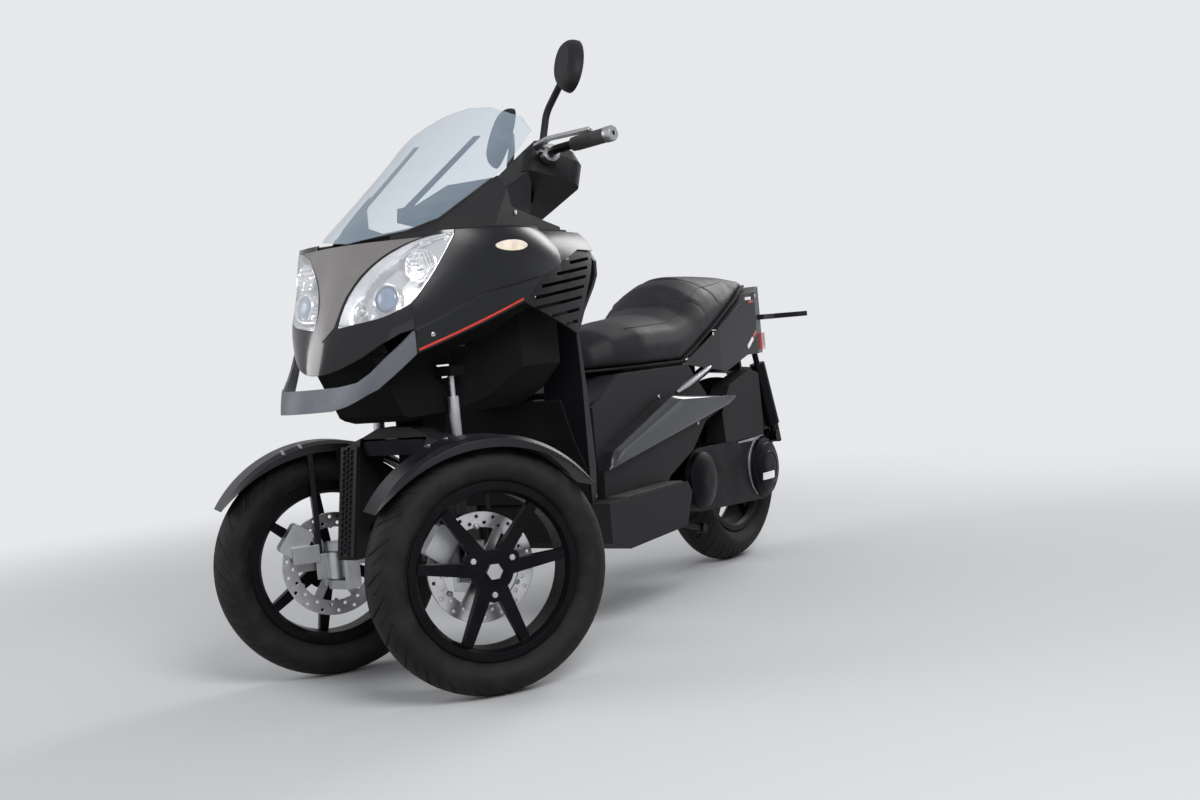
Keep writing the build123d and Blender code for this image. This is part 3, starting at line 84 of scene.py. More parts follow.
class Maths:
    """Wraps a number or colour socket, so that shader maths reads as plain expressions."""

    def __init__(self, shader, socket):
        self.shader, self.socket = shader, socket

    def _with(self, operation, *others):
        values = {0: self}
        values.update(enumerate(others, 1))
        node = self.shader.node("ShaderNodeMath", {"operation": operation}, values)
        return Maths(self.shader, node.outputs[0])

    def __add__(self, other):
        return self._with("ADD", other)

    __radd__ = __add__

    def __mul__(self, other):
        return self._with("MULTIPLY", other)

    def __pow__(self, other):
        return self._with("POWER", other)

    def step(self, low, high):
        """Smooth rise from 0 at low to 1 at high."""
        node = self.shader.node(
            "ShaderNodeMapRange", {"interpolation_type": "SMOOTHSTEP"}, {0: self.socket, 1: low, 2: high},
        )
        return Maths(self.shader, node.outputs[0])

    def wave(self):
        return self._with("SINE")


EDGE_R = 0.002  # radius that sharp edges are shaded with, in metres
EDGE_SAMPLES = 4


class Finish:
    """A material on the Principled shader, with helpers for its patterns."""

    def __init__(self, name, colour, roughness, **sockets):
        self.material = bpy.data.materials.new(name)
        self.material.use_nodes = True
        self.tree = self.material.node_tree
        self.shader = self.tree.nodes["Principled BSDF"]
        self.shader.inputs["Base Color"].default_value = (*colour, 1)
        self.shader.inputs["Roughness"].default_value = roughness
        for socket, value in sockets.items():
            self.shader.inputs[socket.replace("_", " ")].default_value = value
        self.place = self.node("ShaderNodeTexCoord").outputs["Object"]

    def node(self, kind, settings=None, values=None):
        """A node of that type, its settings first, then the values or links of its sockets."""
        node = self.tree.nodes.new(kind)
        for key, value in (settings or {}).items():
            setattr(node, key, value)
        for key, value in (values or {}).items():
            self.feed(node.inputs[key], value)
        return node

    def feed(self, socket, value):
        if isinstance(value, Maths):
            value = value.socket
        if isinstance(value, bpy.types.NodeSocket):
            self.tree.links.new(value, socket)
        else:
            socket.default_value = value

    def split(self, vector=None):
        node = self.node("ShaderNodeSeparateXYZ", None, {0: vector or self.place})
        return [Maths(self, socket) for socket in node.outputs]

    def noise(self, scale, detail=3, vector=None):
        values = {"Vector": vector or self.place, "Scale": scale, "Detail": detail}
        return Maths(self, self.node("ShaderNodeTexNoise", None, values).outputs[0])

    def cells(self, scale):
        node = self.node("ShaderNodeTexVoronoi", None, {"Vector": self.place, "Scale": scale})
        return Maths(self, node.outputs["Distance"])

    def stretch(self, scale):
        return self.node("ShaderNodeMapping", None, {"Vector": self.place, "Scale": scale}).outputs[0]

    def facing(self, blend):
        """Near 0 where the surface faces the eye and near 1 at its rim."""
        node = self.node("ShaderNodeLayerWeight", None, {"Blend": blend})
        return Maths(self, node.outputs["Facing"])

    def upward(self):
        """How much the surface faces up."""
        return self.split(self.node("ShaderNodeNewGeometry").outputs["Normal"])[2]

    def mix(self, factor, first, second):
        values = {0: factor, 6: (*first, 1), 7: (*second, 1)}
        return self.node("ShaderNodeMix", {"data_type": "RGBA"}, values).outputs[2]

    def bump(self, height, depth):
        """Depth is in metres; sharp edges are shaded as if rounded to the edge radius."""
        node = self.node("ShaderNodeBump", None, {"Height": height, "Distance": depth, "Strength": 1.0})
        round_edge = self.node("ShaderNodeBevel", {"samples": EDGE_SAMPLES}, {"Radius": EDGE_R})
        self.feed(node.inputs["Normal"], round_edge.outputs[0])
        self.set("Normal", node.outputs[0])

    def set(self, socket, value):
        self.feed(self.shader.inputs[socket], value)


def paint_node(name, finish):
    """Give a node of the frame its finish."""
    materials = frame["nodes"][name].data.materials
    materials.clear()
    materials.append(finish.material)


def lacquer(name, colour, roughness, spread, coat):
    """Lacquer with fine flow in its film, cloudy roughness and a little dust where it faces up."""
    finish = Finish(
        name, colour, roughness, Specular_IOR_Level=0.32, Coat_Weight=coat, Coat_Roughness=roughness * 0.5,
    )
    cloud = finish.noise(7, 4)
    dust = finish.upward().step(0.55, 1.0) * finish.noise(38, 6).step(0.42, 0.8)
    finish.set("Roughness", (cloud * spread) + (roughness - spread / 2) + dust * 0.14)
    light = tuple(channel * 2.2 + 0.004 for channel in colour)
    finish.set("Base Color", finish.mix(dust * 0.8 + cloud.step(0.5, 0.8) * 0.2, colour, light))
    finish.bump(finish.noise(650, 2), 0.00003)
    return finish


def moulded_plastic(name, colour, roughness, grain, depth):
    """Moulded plastic with a pebbled skin, rubbed smoother in patches and greyer where dust lies."""
    finish = Finish(name, colour, roughness, Specular_IOR_Level=0.25)
    wear = finish.noise(9, 5)
    dust = finish.upward().step(0.4, 1.0) * finish.noise(60, 6).step(0.4, 0.75)
    finish.set("Roughness", (wear * 0.22) + (roughness - 0.1) + dust * 0.1)
    light = tuple(channel * 1.7 + 0.004 for channel in colour)
    finish.set("Base Color", finish.mix(wear.step(0.4, 0.8) * 0.6 + dust * 0.4, colour, light))
    finish.bump(finish.cells(grain), depth)
    return finish


def cast_metal(name, colour, roughness, grain, depth):
    """Metal with a fine grain, dulled in stains."""
    finish = Finish(name, colour, roughness, Metallic=1.0)
    stain = finish.noise(14, 5)
    finish.set("Roughness", (stain * 0.25) + (roughness - 0.12))
    dull = tuple(channel * 0.7 for channel in colour)
    finish.set("Base Color", finish.mix(stain.step(0.35, 0.75), colour, dull))
    finish.bump(finish.noise(grain), depth)
    return finish


def tyre_rubber():
    """Dark rubber with a fine grain, and dirt in patches."""
    finish = Finish("tyre_rubber", (0.012, 0.012, 0.013), 0.78, Specular_IOR_Level=0.22)
    dirt = finish.noise(22, 6).step(0.42, 0.72)
    fine = finish.noise(420)
    finish.set("Base Color", finish.mix(dirt, (0.0075, 0.0075, 0.008), (0.018, 0.0175, 0.017)))
    finish.set("Roughness", 0.66 + dirt * 0.2)
    finish.bump(fine + dirt * 0.5, 0.00025)
    return finish


def seat_vinyl():
    """Seat vinyl: small cells like leather grain, with creases from a slower noise, painted darker in their
    valleys as shade.
    """
    finish = Finish("seat_vinyl", (0.014, 0.014, 0.016), 0.56, Specular_IOR_Level=0.3)
    grain = finish.cells(520)
    crease = finish.noise(24, 5)
    finish.set("Roughness", 0.46 + crease * 0.2)
    # Painted shade: darker where the crease noise is low, in the valleys of the bump
    shade = finish.mix(crease.step(0.4, 0.75), (0.008, 0.008, 0.010), (0.015, 0.015, 0.018))
    finish.set("Base Color", shade)
    finish.bump(grain * 0.7 + crease * 1.2, 0.0005)
    return finish


def chrome_facets():
    """Reflector with pressed flutes, as fine waves in two directions."""
    finish = Finish("faceted_reflector", (0.9, 0.9, 0.92), 0.06, Metallic=1.0)
    x, _, z = finish.split()
    wave = (x * 620).wave() + (z * 620).wave()
    finish.bump(wave, 0.0006)
    finish.set("Roughness", 0.05 + finish.noise(60) * 0.05)
    return finish


def clear_cover():
    """Clear moulded cover: nearly all light passes where it faces the eye, less at its rim."""
    finish = Finish("clear_lamp_cover", (0.95, 0.97, 1.0), 0.03, Specular_IOR_Level=0.9, Coat_Weight=1.0)
    finish.set("Alpha", 0.10 + (finish.facing(0.35) ** 2) * 0.5)
    finish.set("Roughness", 0.02 + finish.noise(30) * 0.03)
    return finish


def screen_acrylic():
    """Clear acrylic, tinted a pale blue grey, with faint wiping marks."""
    finish = Finish("screen_acrylic", (0.36, 0.46, 0.56), 0.04, Specular_IOR_Level=0.7, Coat_Weight=0.4)
    wipe = finish.noise(18, 5, vector=finish.stretch((1, 1, 0.2)))
    finish.set("Alpha", 0.17 + (finish.facing(0.4) ** 2) * 0.45 + wipe.step(0.5, 0.9) * 0.08)
    finish.set("Roughness", 0.03 + wipe * 0.1)
    return finish


def lens_plastic(name, colour, roughness, pitch, **sockets):
    """Moulded lens with upright flutes of that pitch in metres."""
    finish = Finish(name, colour, roughness, **sockets)
    x, y, _ = finish.split()
    flute = ((x + y) * (2 * pi / pitch)).wave()
    finish.bump(flute, 0.0004)
    deep = tuple(channel * 0.7 for channel in colour)
    finish.set("Base Color", finish.mix(finish.noise(40).step(0.3, 0.8), colour, deep))
    return finish


BODY = lacquer("satin_black_lacquer", (0.0065, 0.007, 0.009), 0.36, 0.14, 0.0)
NOSE = lacquer("gloss_black_lacquer", (0.007, 0.007, 0.009), 0.17, 0.08, 0.6)
SPINE = lacquer("grey_satin_lacquer", (0.16, 0.15, 0.15), 0.3, 0.1, 0.3)
# Painted sheen: the wedges' black lacquer is made lighter and bluer than the body's, standing for the sky's
# reflection on them
WEDGE = lacquer("black_lacquer_painted_sheen", (0.02, 0.023, 0.028), 0.24, 0.08, 0.3)
PLASTIC = moulded_plastic("black_moulded_plastic", (0.0075, 0.0075, 0.009), 0.58, 1400, 0.00012)
# Painted shade: black plastic made darker and less shiny than the real black plastic, for the arch liner,
# front tower, backbone, belly pan and arch wings, which sit in shadow under the body
SHADE = moulded_plastic("painted_shade_black_plastic", (0.004, 0.004, 0.0045), 0.9, 1200, 0.0001)
SHADE.shader.inputs["Specular IOR Level"].default_value = 0.15
GREY = moulded_plastic("grey_moulded_plastic", (0.10, 0.105, 0.12), 0.42, 1400, 0.00008)
BLACK_METAL = cast_metal("black_coated_metal", (0.014, 0.014, 0.016), 0.45, 600, 0.00005)
SILVER = cast_metal("cast_aluminium", (0.55, 0.56, 0.58), 0.42, 500, 0.0001)
STEEL = cast_metal("ground_steel", (0.62, 0.62, 0.63), 0.28, 300, 0.00002)
RUBBER = tyre_rubber()
GRIP = moulded_plastic("grip_rubber", (0.045, 0.043, 0.042), 0.7, 900, 0.0001)
SEAT = seat_vinyl()
PIPING = moulded_plastic("seat_piping", (0.02, 0.02, 0.022), 0.5, 1800, 0.00005)
RED = lens_plastic("red_lens", (0.42, 0.012, 0.01), 0.1, 0.006, Coat_Weight=0.8)
RED_PAINT = lacquer("red_line_paint", (0.55, 0.035, 0.02), 0.4, 0.1, 0.2)
SIGNAL = lens_plastic("signal_lens", (0.92, 0.80, 0.66), 0.14, 0.005, Coat_Weight=0.8)
GLASS = screen_acrylic()
CLEAR = clear_cover()
CHROME = cast_metal("lamp_chrome", (0.86, 0.87, 0.9), 0.2, 80, 0.0003)
FACETED = chrome_facets()
PROJECTOR = lens_plastic("projector_glass", (0.12, 0.2, 0.34), 0.03, 0.02, Coat_Weight=1.0)
BULB = lens_plastic("bulb_glass", (0.9, 0.9, 0.86), 0.1, 0.01, Coat_Weight=0.5)
MIRROR = cast_metal("mirror_silver", (0.85, 0.87, 0.88), 0.14, 40, 0.00001)
WHITE_MARK = moulded_plastic("white_mark", (0.8, 0.8, 0.8), 0.5, 1200, 0.00002)

SLOT_FINISH = {
    "body_paint": BODY, "black_plastic": PLASTIC, "grey_plastic": GREY, "black_metal": BLACK_METAL,
    "silver_metal": SILVER, "disc_steel": STEEL, "tyre": RUBBER, "rubber": GRIP, "seat_cover": SEAT,
    "screen": GLASS, "lamp": SIGNAL, "red_lens": RED, "dark_trim": PLASTIC,
}
for part in frame["record"]["subparts"]:
    paint_node(part["node"], SLOT_FINISH[part["material_slot"]])
paint_node("nose_fairing", NOSE)
paint_node("grab_rails", BLACK_METAL)
# Painted shade: these parts under the body take the darkened black that stands for their shadow
for node in ("arch_liner", "front_tower", "frame_backbone", "belly_pan"):
    paint_node(node, SHADE)


ORIGIN_BACK = 0.827  # how far the frame's origin lies behind the front axle, in metres
BAR_MIDDLE = np.array([0, 606, 1155])
TURN = radians(-33.8)
RAKE = radians(22)
COLUMN = np.array([0, sin(RAKE), cos(RAKE)])
BAR_OUT = np.array([cos(TURN), sin(TURN) * cos(RAKE), -sin(TURN) * sin(RAKE)])
BAR_AXES = np.array([BAR_OUT, np.cross(COLUMN, BAR_OUT), COLUMN])
WAYS = (1, -1)
SIDES = dict(zip(("left", "right"), WAYS))


def placed(points):
    """Millimetres from the floor under the front axle become the frame's metres."""
    out = np.array(points, float) / 1000
    out[..., 1] -= ORIGIN_BACK
    return out


def on_bar(points):
    """Points along the bar, back from it and up the column, in millimetres, become the frame's metres."""
    return placed(BAR_MIDDLE + np.array(points, float) @ BAR_AXES)


def closed_ends(grid, poles=None):
    """Adds a row at each end of a grid, with all its points at that end's pole, or else its middle."""
    poles = grid.mean(1) if poles is None else poles
    ends = [np.repeat(poles[at][None, None], grid.shape[1], 1) for at in (0, -1)]
    return np.concatenate([ends[0], grid, ends[1]])


def unit(vector):
    vector = np.array(vector, float)
    return vector / np.linalg.norm(vector, axis=-1, keepdims=True)


def square_to(axis):
    """Two unit directions square to an axis and to each other."""
    axis = unit(axis)
    near = np.array([0.0, 0, 1]) if abs(axis[2]) < 0.9 else np.array([1.0, 0, 0])
    first = unit(np.cross(near, axis))
    return first, np.cross(axis, first)


def spokes(axis, angle):
    """Unit directions square to an axis, at these angles round it."""
    across, upward = square_to(axis)
    angle = np.array(angle)[..., None]
    return np.cos(angle) * across + np.sin(angle) * upward


def make(name, grids, finish, smooth=50, body="chassis", replaces=()):
    """One piece from grids of points, each joined from its last column to its first.
    Every cell of a grid is a face; points that meet are merged, and faces are turned outwards."""
    points, faces, first = [], [], 0
    for grid in grids:
        rows, columns = grid.shape[:2]
        number = first + np.arange(rows * columns).reshape(rows, columns)
        number = np.hstack([number, number[:, :1]])
        cells = np.stack([number[:-1, :-1], number[:-1, 1:], number[1:, 1:], number[1:, :-1]], -1)
        points.append(grid.reshape(-1, 3))
        faces.append(cells.reshape(-1, 4))
        first += rows * columns
    mesh = bpy.data.meshes.new(name)
    mesh.from_pydata(np.concatenate(points).tolist(), [], np.concatenate(faces).tolist())
    close_mesh(mesh)
    return finish_piece(name, mesh, body, finish, smooth, replaces)


def close_mesh(mesh):
    """Merges points that meet, drops faces without area and turns the rest outwards."""
    shape = bmesh.new()
    shape.from_mesh(mesh)
    bmesh.ops.remove_doubles(shape, verts=shape.verts, dist=0.00001)
    bmesh.ops.dissolve_degenerate(shape, edges=shape.edges, dist=0.00001)
    bmesh.ops.recalc_face_normals(shape, faces=shape.faces)
    shape.to_mesh(mesh)
    shape.free()


def finish_piece(name, mesh, body, finish, smooth, replaces=()):
    """Edges that turn by more than smooth degrees stay sharp; at 0 none does."""
    mesh.materials.clear()
    mesh.materials.append(finish.material)
    mesh.shade_smooth()
    if smooth:
        mesh.set_sharp_from_angle(angle=radians(smooth))
    thing = bpy.data.objects.new(name, mesh)
    scene.collection.objects.link(thing)
    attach(thing, body)
    if replaces:
        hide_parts(*replaces)
    return thing


def turned(profile, centre, axle, steps=40):
    """A profile of radii and distances along the axle, in metres, carried round the axle."""
    ring = spokes(axle, np.arange(steps) * 2 * pi / steps)
    profile = np.array(profile, float)
    return centre + profile[:, None, :1] * ring[None] + profile[:, None, 1:] * unit(axle)


def swept(path, radius, steps=10, flat=1.0):
    """A round section, squashed by flat, carried along a path of points and closed at its ends."""
    path = np.array(path, float)
    along = unit(np.gradient(path, axis=0))
    side = unit(np.cross(along, np.array([0.13, 0.21, 0.97])))
    over = np.cross(side, along)
    angle = np.arange(steps)[:, None] * 2 * pi / steps
    rings = np.cos(angle) * side[:, None] + flat * np.sin(angle) * over[:, None]
    return closed_ends(path[:, None] + radius * rings, path)


def skin_of(thing):
    mesh = thing.data
    return BVHTree.FromPolygons([v.co for v in mesh.vertices], [tuple(p.vertices) for p in mesh.polygons])


def cast(skin, starts, heading, lift=0.0):
    """Where rays from the starts along one heading meet a skin, lifted off it along its normal.
    A ray that misses takes the skin's point nearest to a spot 0.3 m along it."""
    found, normals = [], []
    for start in starts:
        spot, normal = skin.ray_cast(Vector(start), Vector(heading))[:2]
        if spot is None:
            spot, normal = skin.find_nearest(Vector(start) + Vector(heading) * 0.3)[:2]
        if normal.dot(Vector(heading)) > 0:
            normal = -normal
        found.append(spot + normal * lift)
        normals.append(normal)
    return np.array(found), np.array(normals)


# Wheels: radius, width and rim radius of the tyres; then each wheel's centre, axle, tyre, angle of its
# first bolt, and body
FRONT_TYRE = (266, 110, 178)
REAR_TYRE = (288, 140, 190)
WHEELS = {
    "front_left": ((263.171, -38.941, 266), (0.830984, -0.556296, 0), FRONT_TYRE, 28, "wheel_front_left"),
    "front_right": ((-263.171, 38.941, 266), (-0.830984, 0.556296, 0), FRONT_TYRE, 62, "wheel_front_right"),
    "rear": ((0, 1560, 288), (1, 0, 0), REAR_TYRE, 90, "wheel_rear"),
}
TREAD_STEPS = 720
TREAD_ROWS = 60
WALL_ROWS = 12
GROOVES = 26
GROOVE_HALF = 2.6  # half a groove's width, its ramp and its depth, in millimetres
GROOVE_RAMP = 0.6
GROOVE_DEEP = 3.6
GROOVE_LEAN = 0.9  # grooves that it falls behind by, from the middle of the crown to its edge
SIPE = 0.8  # width of a sipe as a share of a groove's
SIPE_DEEP = 0.7
MIDDLE_DEEP = 0.6
RIM_GAP = 0.4  # between the rubber's foot and the rim
BEAD = 0.31  # shares of the tyre's width: half of it at the bead, and the drop to the shoulder
SHOULDER = 0.27
LIP = 12
WALL_RIB = 0.9
BEAD_T, WALL_T, EDGE_T, SHOULDER_T, CROWN_T, FOOT_T = 7, 9, 12, 4, 10, 9  # the rubber's thickness there


def soft_step(value, low, high):
    share = np.clip((value - low) / (high - low), 0, 1)
    return share * share * (3 - 2 * share)


def tread_depth(angle, across, radius):
    """Slanted grooves: the distance to the nearest line that leans back as it leaves the middle,
    deep within a band of the crown, and shorter sipes between them at the shoulders."""
    pitch = 2 * pi * radius / GROOVES
    turn = angle[:, None] * GROOVES / (2 * pi)
    out = np.abs(across)[None, :]
    half = np.where(across[None, :] > 0, 0.5, 0.0)
    lines = turn + GROOVE_LEAN * out ** 1.5 + half
    main = np.abs(lines % 1 - 0.5) * pitch
    sipe = np.abs((lines + 0.5) % 1 - 0.5) * pitch
    main_band = soft_step(out, 0.06, 0.14) * soft_step(-out, -0.95, -0.82)
    sipe_band = soft_step(out, 0.42, 0.5) * soft_step(-out, -0.98, -0.88)
    middle = soft_step(-np.abs(across * radius * 0.2)[None, :], -2.4, -1.2)
    cut = soft_step(-main, -GROOVE_HALF, GROOVE_RAMP - GROOVE_HALF) * main_band
    short = soft_step(-sipe, -SIPE * GROOVE_HALF, GROOVE_RAMP - SIPE * GROOVE_HALF) * sipe_band
    return GROOVE_DEEP * np.maximum(np.maximum(cut, SIPE_DEEP * short), MIDDLE_DEEP * middle)


def add_tyre(name):
    """The section runs from bead to bead over wall and crown, and back inside at the rubber's
    thickness; carried round the axle, its crown is lowered by the depth of the tread."""
    centre, axle, (radius, width, rim), _, body = WHEELS[name]
    bead, wall = width * BEAD, width / 2
    lip, shoulder = rim + LIP, radius - width * SHOULDER
    edge = wall * 0.96
    curve = (edge ** 2 + (radius - shoulder) ** 2) / (2 * (radius - shoulder))
    lean = np.arcsin(edge / curve) * np.linspace(-1, 1, TREAD_ROWS)
    crown = np.stack([curve * np.sin(lean), radius - curve + curve * np.cos(lean)], -1)
    belly = np.linspace(0, 1, WALL_ROWS + 2)[1:-1]
    sag = 4 * belly * (1 - belly)
    rib = WALL_RIB * (np.abs(belly - 0.18) < 0.06)
    out = -bead + (bead - edge) * belly - (wall - (bead + edge) / 2) * sag - rib
    left = np.stack([out, lip + (shoulder - lip) * belly], -1)
    right = left[::-1] * [-1, 1]
    far_side = np.array([
        (bead - BEAD_T, lip), (wall - WALL_T, (lip + shoulder) / 2), (edge - EDGE_T, shoulder - SHOULDER_T),
    ])
    near_side = far_side[::-1] * [-1, 1]
    top, end = (0, radius - CROWN_T), (FOOT_T - bead, rim + RIM_GAP)
    inside = np.concatenate([far_side, [top], near_side, [end]])
    foot = np.array([(-bead, rim + RIM_GAP), (-bead, lip)])
    heel = foot[::-1] * [-1, 1]
    section = np.concatenate([foot, left, crown, right, heel, inside])
    angle = np.arange(TREAD_STEPS) * 2 * pi / TREAD_STEPS
    far = np.repeat(section[None, :, 1], TREAD_STEPS, 0)
    start = len(foot) + len(left)
    far[:, start:start + TREAD_ROWS] -= tread_depth(angle, np.linspace(-1, 1, TREAD_ROWS), radius)
    ring = spokes(axle, angle)[:, None]
    grid = np.array(centre) + far[..., None] * ring + section[None, :, :1] * unit(axle)
    grid = np.concatenate([grid, grid[:1]])
    make("tread_" + name, [placed(grid)], RUBBER, 35, body, ["tyre_" + name])


# Small fasteners: the fender clips' distances ahead of the axle, their reach along it and the height they
# are laid from; the circles of wheel nuts and disc screws, and their places along the axle
CLIPS_AHEAD = (92, 52)
CLIP_ACROSS = (38, 65)
CLIP_ABOVE = 420
BOLT_CIRCLE = 50
BOLT_OUT = 30
SCREW_CIRCLE = 88
SCREW_IN = 8.3
SCREW_TURN = radians(30) + 0.02
# In metres: how far small pieces reach into the skin below, then the radius and height of each fastener
SUNK = 0.0004
NUT = (0.0075, 0.005)
DISC_SCREW = (0.006, 0.0025)
COVER_SCREW = (0.0055, 0.002)
CLIP_RIVET = (0.0042, 0.0022)


def wheel_nut(spot, heading, radius, height):
    """A six-sided nut with a bevelled top, standing on its spot."""
    profile = [
        (0, -SUNK), (radius, -SUNK), (radius, height * 0.7), (radius * 0.82, height), (0, height),
    ]
    return turned(profile, spot, heading, 6)


def button_head(spot, heading, radius, height):
    """A domed head with a round socket in it, standing on its spot."""
    profile = [
        (0, -SUNK), (radius, -SUNK), (radius * 0.96, height * 0.45), (radius * 0.7, height * 0.9),
        (radius * 0.45, height), (radius * 0.4, height * 0.45), (0, height * 0.4),
    ]
    return turned(profile, spot, heading, 16)


def add_wheel_bolts(name):
    """Three nuts on the hub, and six screws that hold the disc to the inner side of the rim."""
    centre, axle, (_, width, _), first, body = WHEELS[name]
    centre, axle = np.array(centre), np.array(axle)
    grids = []
    for turn in range(0, 360, 120):
        spot = centre + BOLT_CIRCLE * spokes(axle, radians(first + turn))
        grids.append(wheel_nut(placed(spot + axle * BOLT_OUT), axle, *NUT))
    for turn in range(0, 360, 60):
        spot = centre + SCREW_CIRCLE * spokes(axle, radians(turn) + SCREW_TURN)
        grids.append(button_head(placed(spot - axle * (width * BEAD + SCREW_IN)), axle, *DISC_SCREW))
    make("wheel_bolts_" + name, grids, SILVER, 30, body)


# Screws in each cover: distance back and height
COVER_SCREWS = {
    "side_fairings": [(-60, 772), (330, 905), (470, 930)],
    "side_panels": [(640, 420), (900, 560), (1080, 470)],
    "tail_fairing": [(1250, 740), (1600, 820)],
    "screen_cowl": [(250, 1035)],
}
BESIDE = 600  # rays start this far out, or this far back, in millimetres
AHEAD = -500


def from_side(skin, way, y, z):
    """Where rays from one side, at these distances back and heights, meet a skin."""
    y, z = np.broadcast_arrays(np.array(y, float), np.array(z, float))
    starts = np.stack([np.full(y.shape, way * float(BESIDE)), y, z], -1)
    return cast(skin, placed(starts).reshape(-1, 3), (-way, 0, 0))


def add_cover_screws():
    """One button head where each ray meets its cover, on both sides."""
    grids = []
    for node, spots in COVER_SCREWS.items():
        skin = skin_of(frame["nodes"][node])
        for y, z in spots:
            for way in WAYS:
                place, normals = from_side(skin, way, y, z)
                grids.append(button_head(place[0], normals[0], *COVER_SCREW))
    make("cover_screws", grids, STEEL, 30)


def add_fender_clips():
    """Two bright clips bent over the inner edge of each fender: a flat band laid on the skin."""
    for side in SIDES:
        skin = skin_of(frame["nodes"]["fender_" + side])
        centre, axle = (np.array(value) for value in WHEELS["front_" + side][:2])
        ahead = np.array([-abs(axle[1]), -abs(axle[0]), 0])
        inner = np.linspace(*CLIP_ACROSS, 16)[:, None]
        grids = []
        for forward in CLIPS_AHEAD:
            starts = centre + ahead * forward - axle * inner + np.array([0, 0, CLIP_ABOVE])
            path, normals = cast(skin, placed(starts), (0, 0, -1), 0.0006)
            grids.append(swept(path, 0.0055, 12, 0.16))
            grids.append(button_head(path[3], normals[3], *CLIP_RIVET))
        make("fender_clips_" + side, grids, SILVER, 30, "knuckle_%s_body" % side)


# Red line along each fairing's ridge: its ends' distance back and height, the shares of the way between
# them where it starts and stops, and half its width and its rise in metres
LINE_ENDS = ((-93, 739.5), (155, 835.5))
LINE_SHARE = (0.03, 0.985)
LINE_HALF = 0.0025
LINE_RISE = 0.0005


def flat_band(path, normals, half, rise):
    """A band along a path on a skin: half its width and its rise over the skin, in metres."""
    across = unit(np.cross(unit(np.gradient(path, axis=0)), normals)) * half
    low, high = normals * -SUNK, normals * rise
    corners = [path - across + low, path - across + high, path + across + high, path + across + low]
    return closed_ends(np.stack(corners, 1), path)


def add_red_lines():
    """A flat band of that width on the skin, between the two ends seen from the side."""
    skin = skin_of(frame["nodes"]["side_fairings"])
    (y0, z0), (y1, z1) = LINE_ENDS
    share = np.linspace(*LINE_SHARE, 70)
    for side, way in SIDES.items():
        path = from_side(skin, way, y0 + (y1 - y0) * share, z0 + (z1 - z0) * share)
        band = flat_band(*path, LINE_HALF, LINE_RISE)
        make("red_line_" + side, [band], RED_PAINT, 30)


# Rear cover of the drive case: its middle seen from the side, the radii of its ridges and their profile;
# the bright arm's bend, with its radius and angles; its straight part and the blank plate, with their ends
# and height; then, in metres, half widths at the narrow and at the wide end, and rises
COVER_MIDDLE = (1560, 288)
COVER_RIDGES = (46, 72)
RIDGE = ((-3, -0.4), (-1.2, 1.6), (1.2, 1.6), (3, -0.4), (-3, -0.4))
BEND_R = 97
BEND_ANGLES = (80, 235)
ARM_REACH = (1400, 1545)
ARM_Z = 380
PLATE_REACH = (1506, 1574)
PLATE_Z = 262
BEND_HALF = (0.0015, 0.006)
ARM_HALF = (0.002, 0.006)
PLATE_HALF = 0.011
BEND_RISE, ARM_RISE, PLATE_RISE = 0.003, 0.0034, 0.0022


def add_drive_cover():
    """Two ridges round the rear dome, a bright arm that bends about its front, and a blank plate."""
    skin = skin_of(frame["nodes"]["drive_case"])
    y, z = COVER_MIDDLE
    ridges = []
    for radius in COVER_RIDGES:
        profile = []
        for step, lift in RIDGE:
            spot, _ = from_side(skin, 1, y + radius + step, z)
            profile.append(((radius + step) / 1000, spot[0][0] + lift / 1000))
        ridges.append(turned(profile, placed((0, y, z)), (1, 0, 0), 72))
    make("drive_cover_ridges", ridges, BLACK_METAL, 40)
    angle = np.radians(np.linspace(*BEND_ANGLES, 60))
    bend = from_side(skin, 1, y + BEND_R * np.cos(angle), z + BEND_R * np.sin(angle))
    taper = soft_step(np.linspace(0, 1, 60), 0, 0.3) * soft_step(np.linspace(1, 0, 60), 0, 0.5)
    arm = from_side(skin, 1, np.linspace(*ARM_REACH, 40), ARM_Z)
    bands = [
        flat_band(*bend, np.interp(taper, (0, 1), BEND_HALF)[:, None], BEND_RISE),
        flat_band(*arm, np.linspace(*ARM_HALF, 40)[:, None], ARM_RISE),
    ]
    make("drive_cover_arm", bands, SILVER, 30)
    plate = from_side(skin, 1, np.linspace(*PLATE_REACH, 24), PLATE_Z)
    bands = [flat_band(*plate, PLATE_HALF, PLATE_RISE)]
    make("drive_cover_plate", bands, WHITE_MARK, 30)


# Small lenses on the tail's sides: distance back and height of both ends, half the width, and finish
TAIL_MARKS = [
    ((1502, 662), (1546, 689), 5.5, WHITE_MARK), ((1550, 692), (1576, 708), 5.5, RED),
    ((1512, 811), (1552, 813), 4.5, WHITE_MARK), ((1530, 801), (1568, 803), 4.0, RED),
]
MARK_RISE = 0.0024
# Passenger's folded pegs: points, and the radius at each
PEG_PATH = [(174, 1004, 563), (184, 1050, 580), (190, 1110, 600), (193, 1165, 617), (194, 1182, 623)]
PEG_R = [9, 13, 11, 8, 5]


def add_tail_details():
    """Flat lenses on the tail's skin, and two cast pegs of changing thickness."""
    skin = skin_of(frame["nodes"]["tail_fairing"])
    pale, red, pegs = [], [], []
    for way in WAYS:
        for (y0, z0), (y1, z1), half, finish in TAIL_MARKS:
            path = from_side(skin, way, np.linspace(y0, y1, 12), np.linspace(z0, z1, 12))
            (pale if finish is WHITE_MARK else red).append(flat_band(*path, half / 1000, MARK_RISE))
        thick = np.array(PEG_R)[:, None, None] / 1000
        pegs.append(swept(placed(np.array(PEG_PATH) * [way, 1, 1]), thick, 14, 0.6))
    make("tail_marks", pale, WHITE_MARK, 30)
    make("tail_reflectors", red, RED, 30)
    make("passenger_pegs", pegs, SILVER, 40)


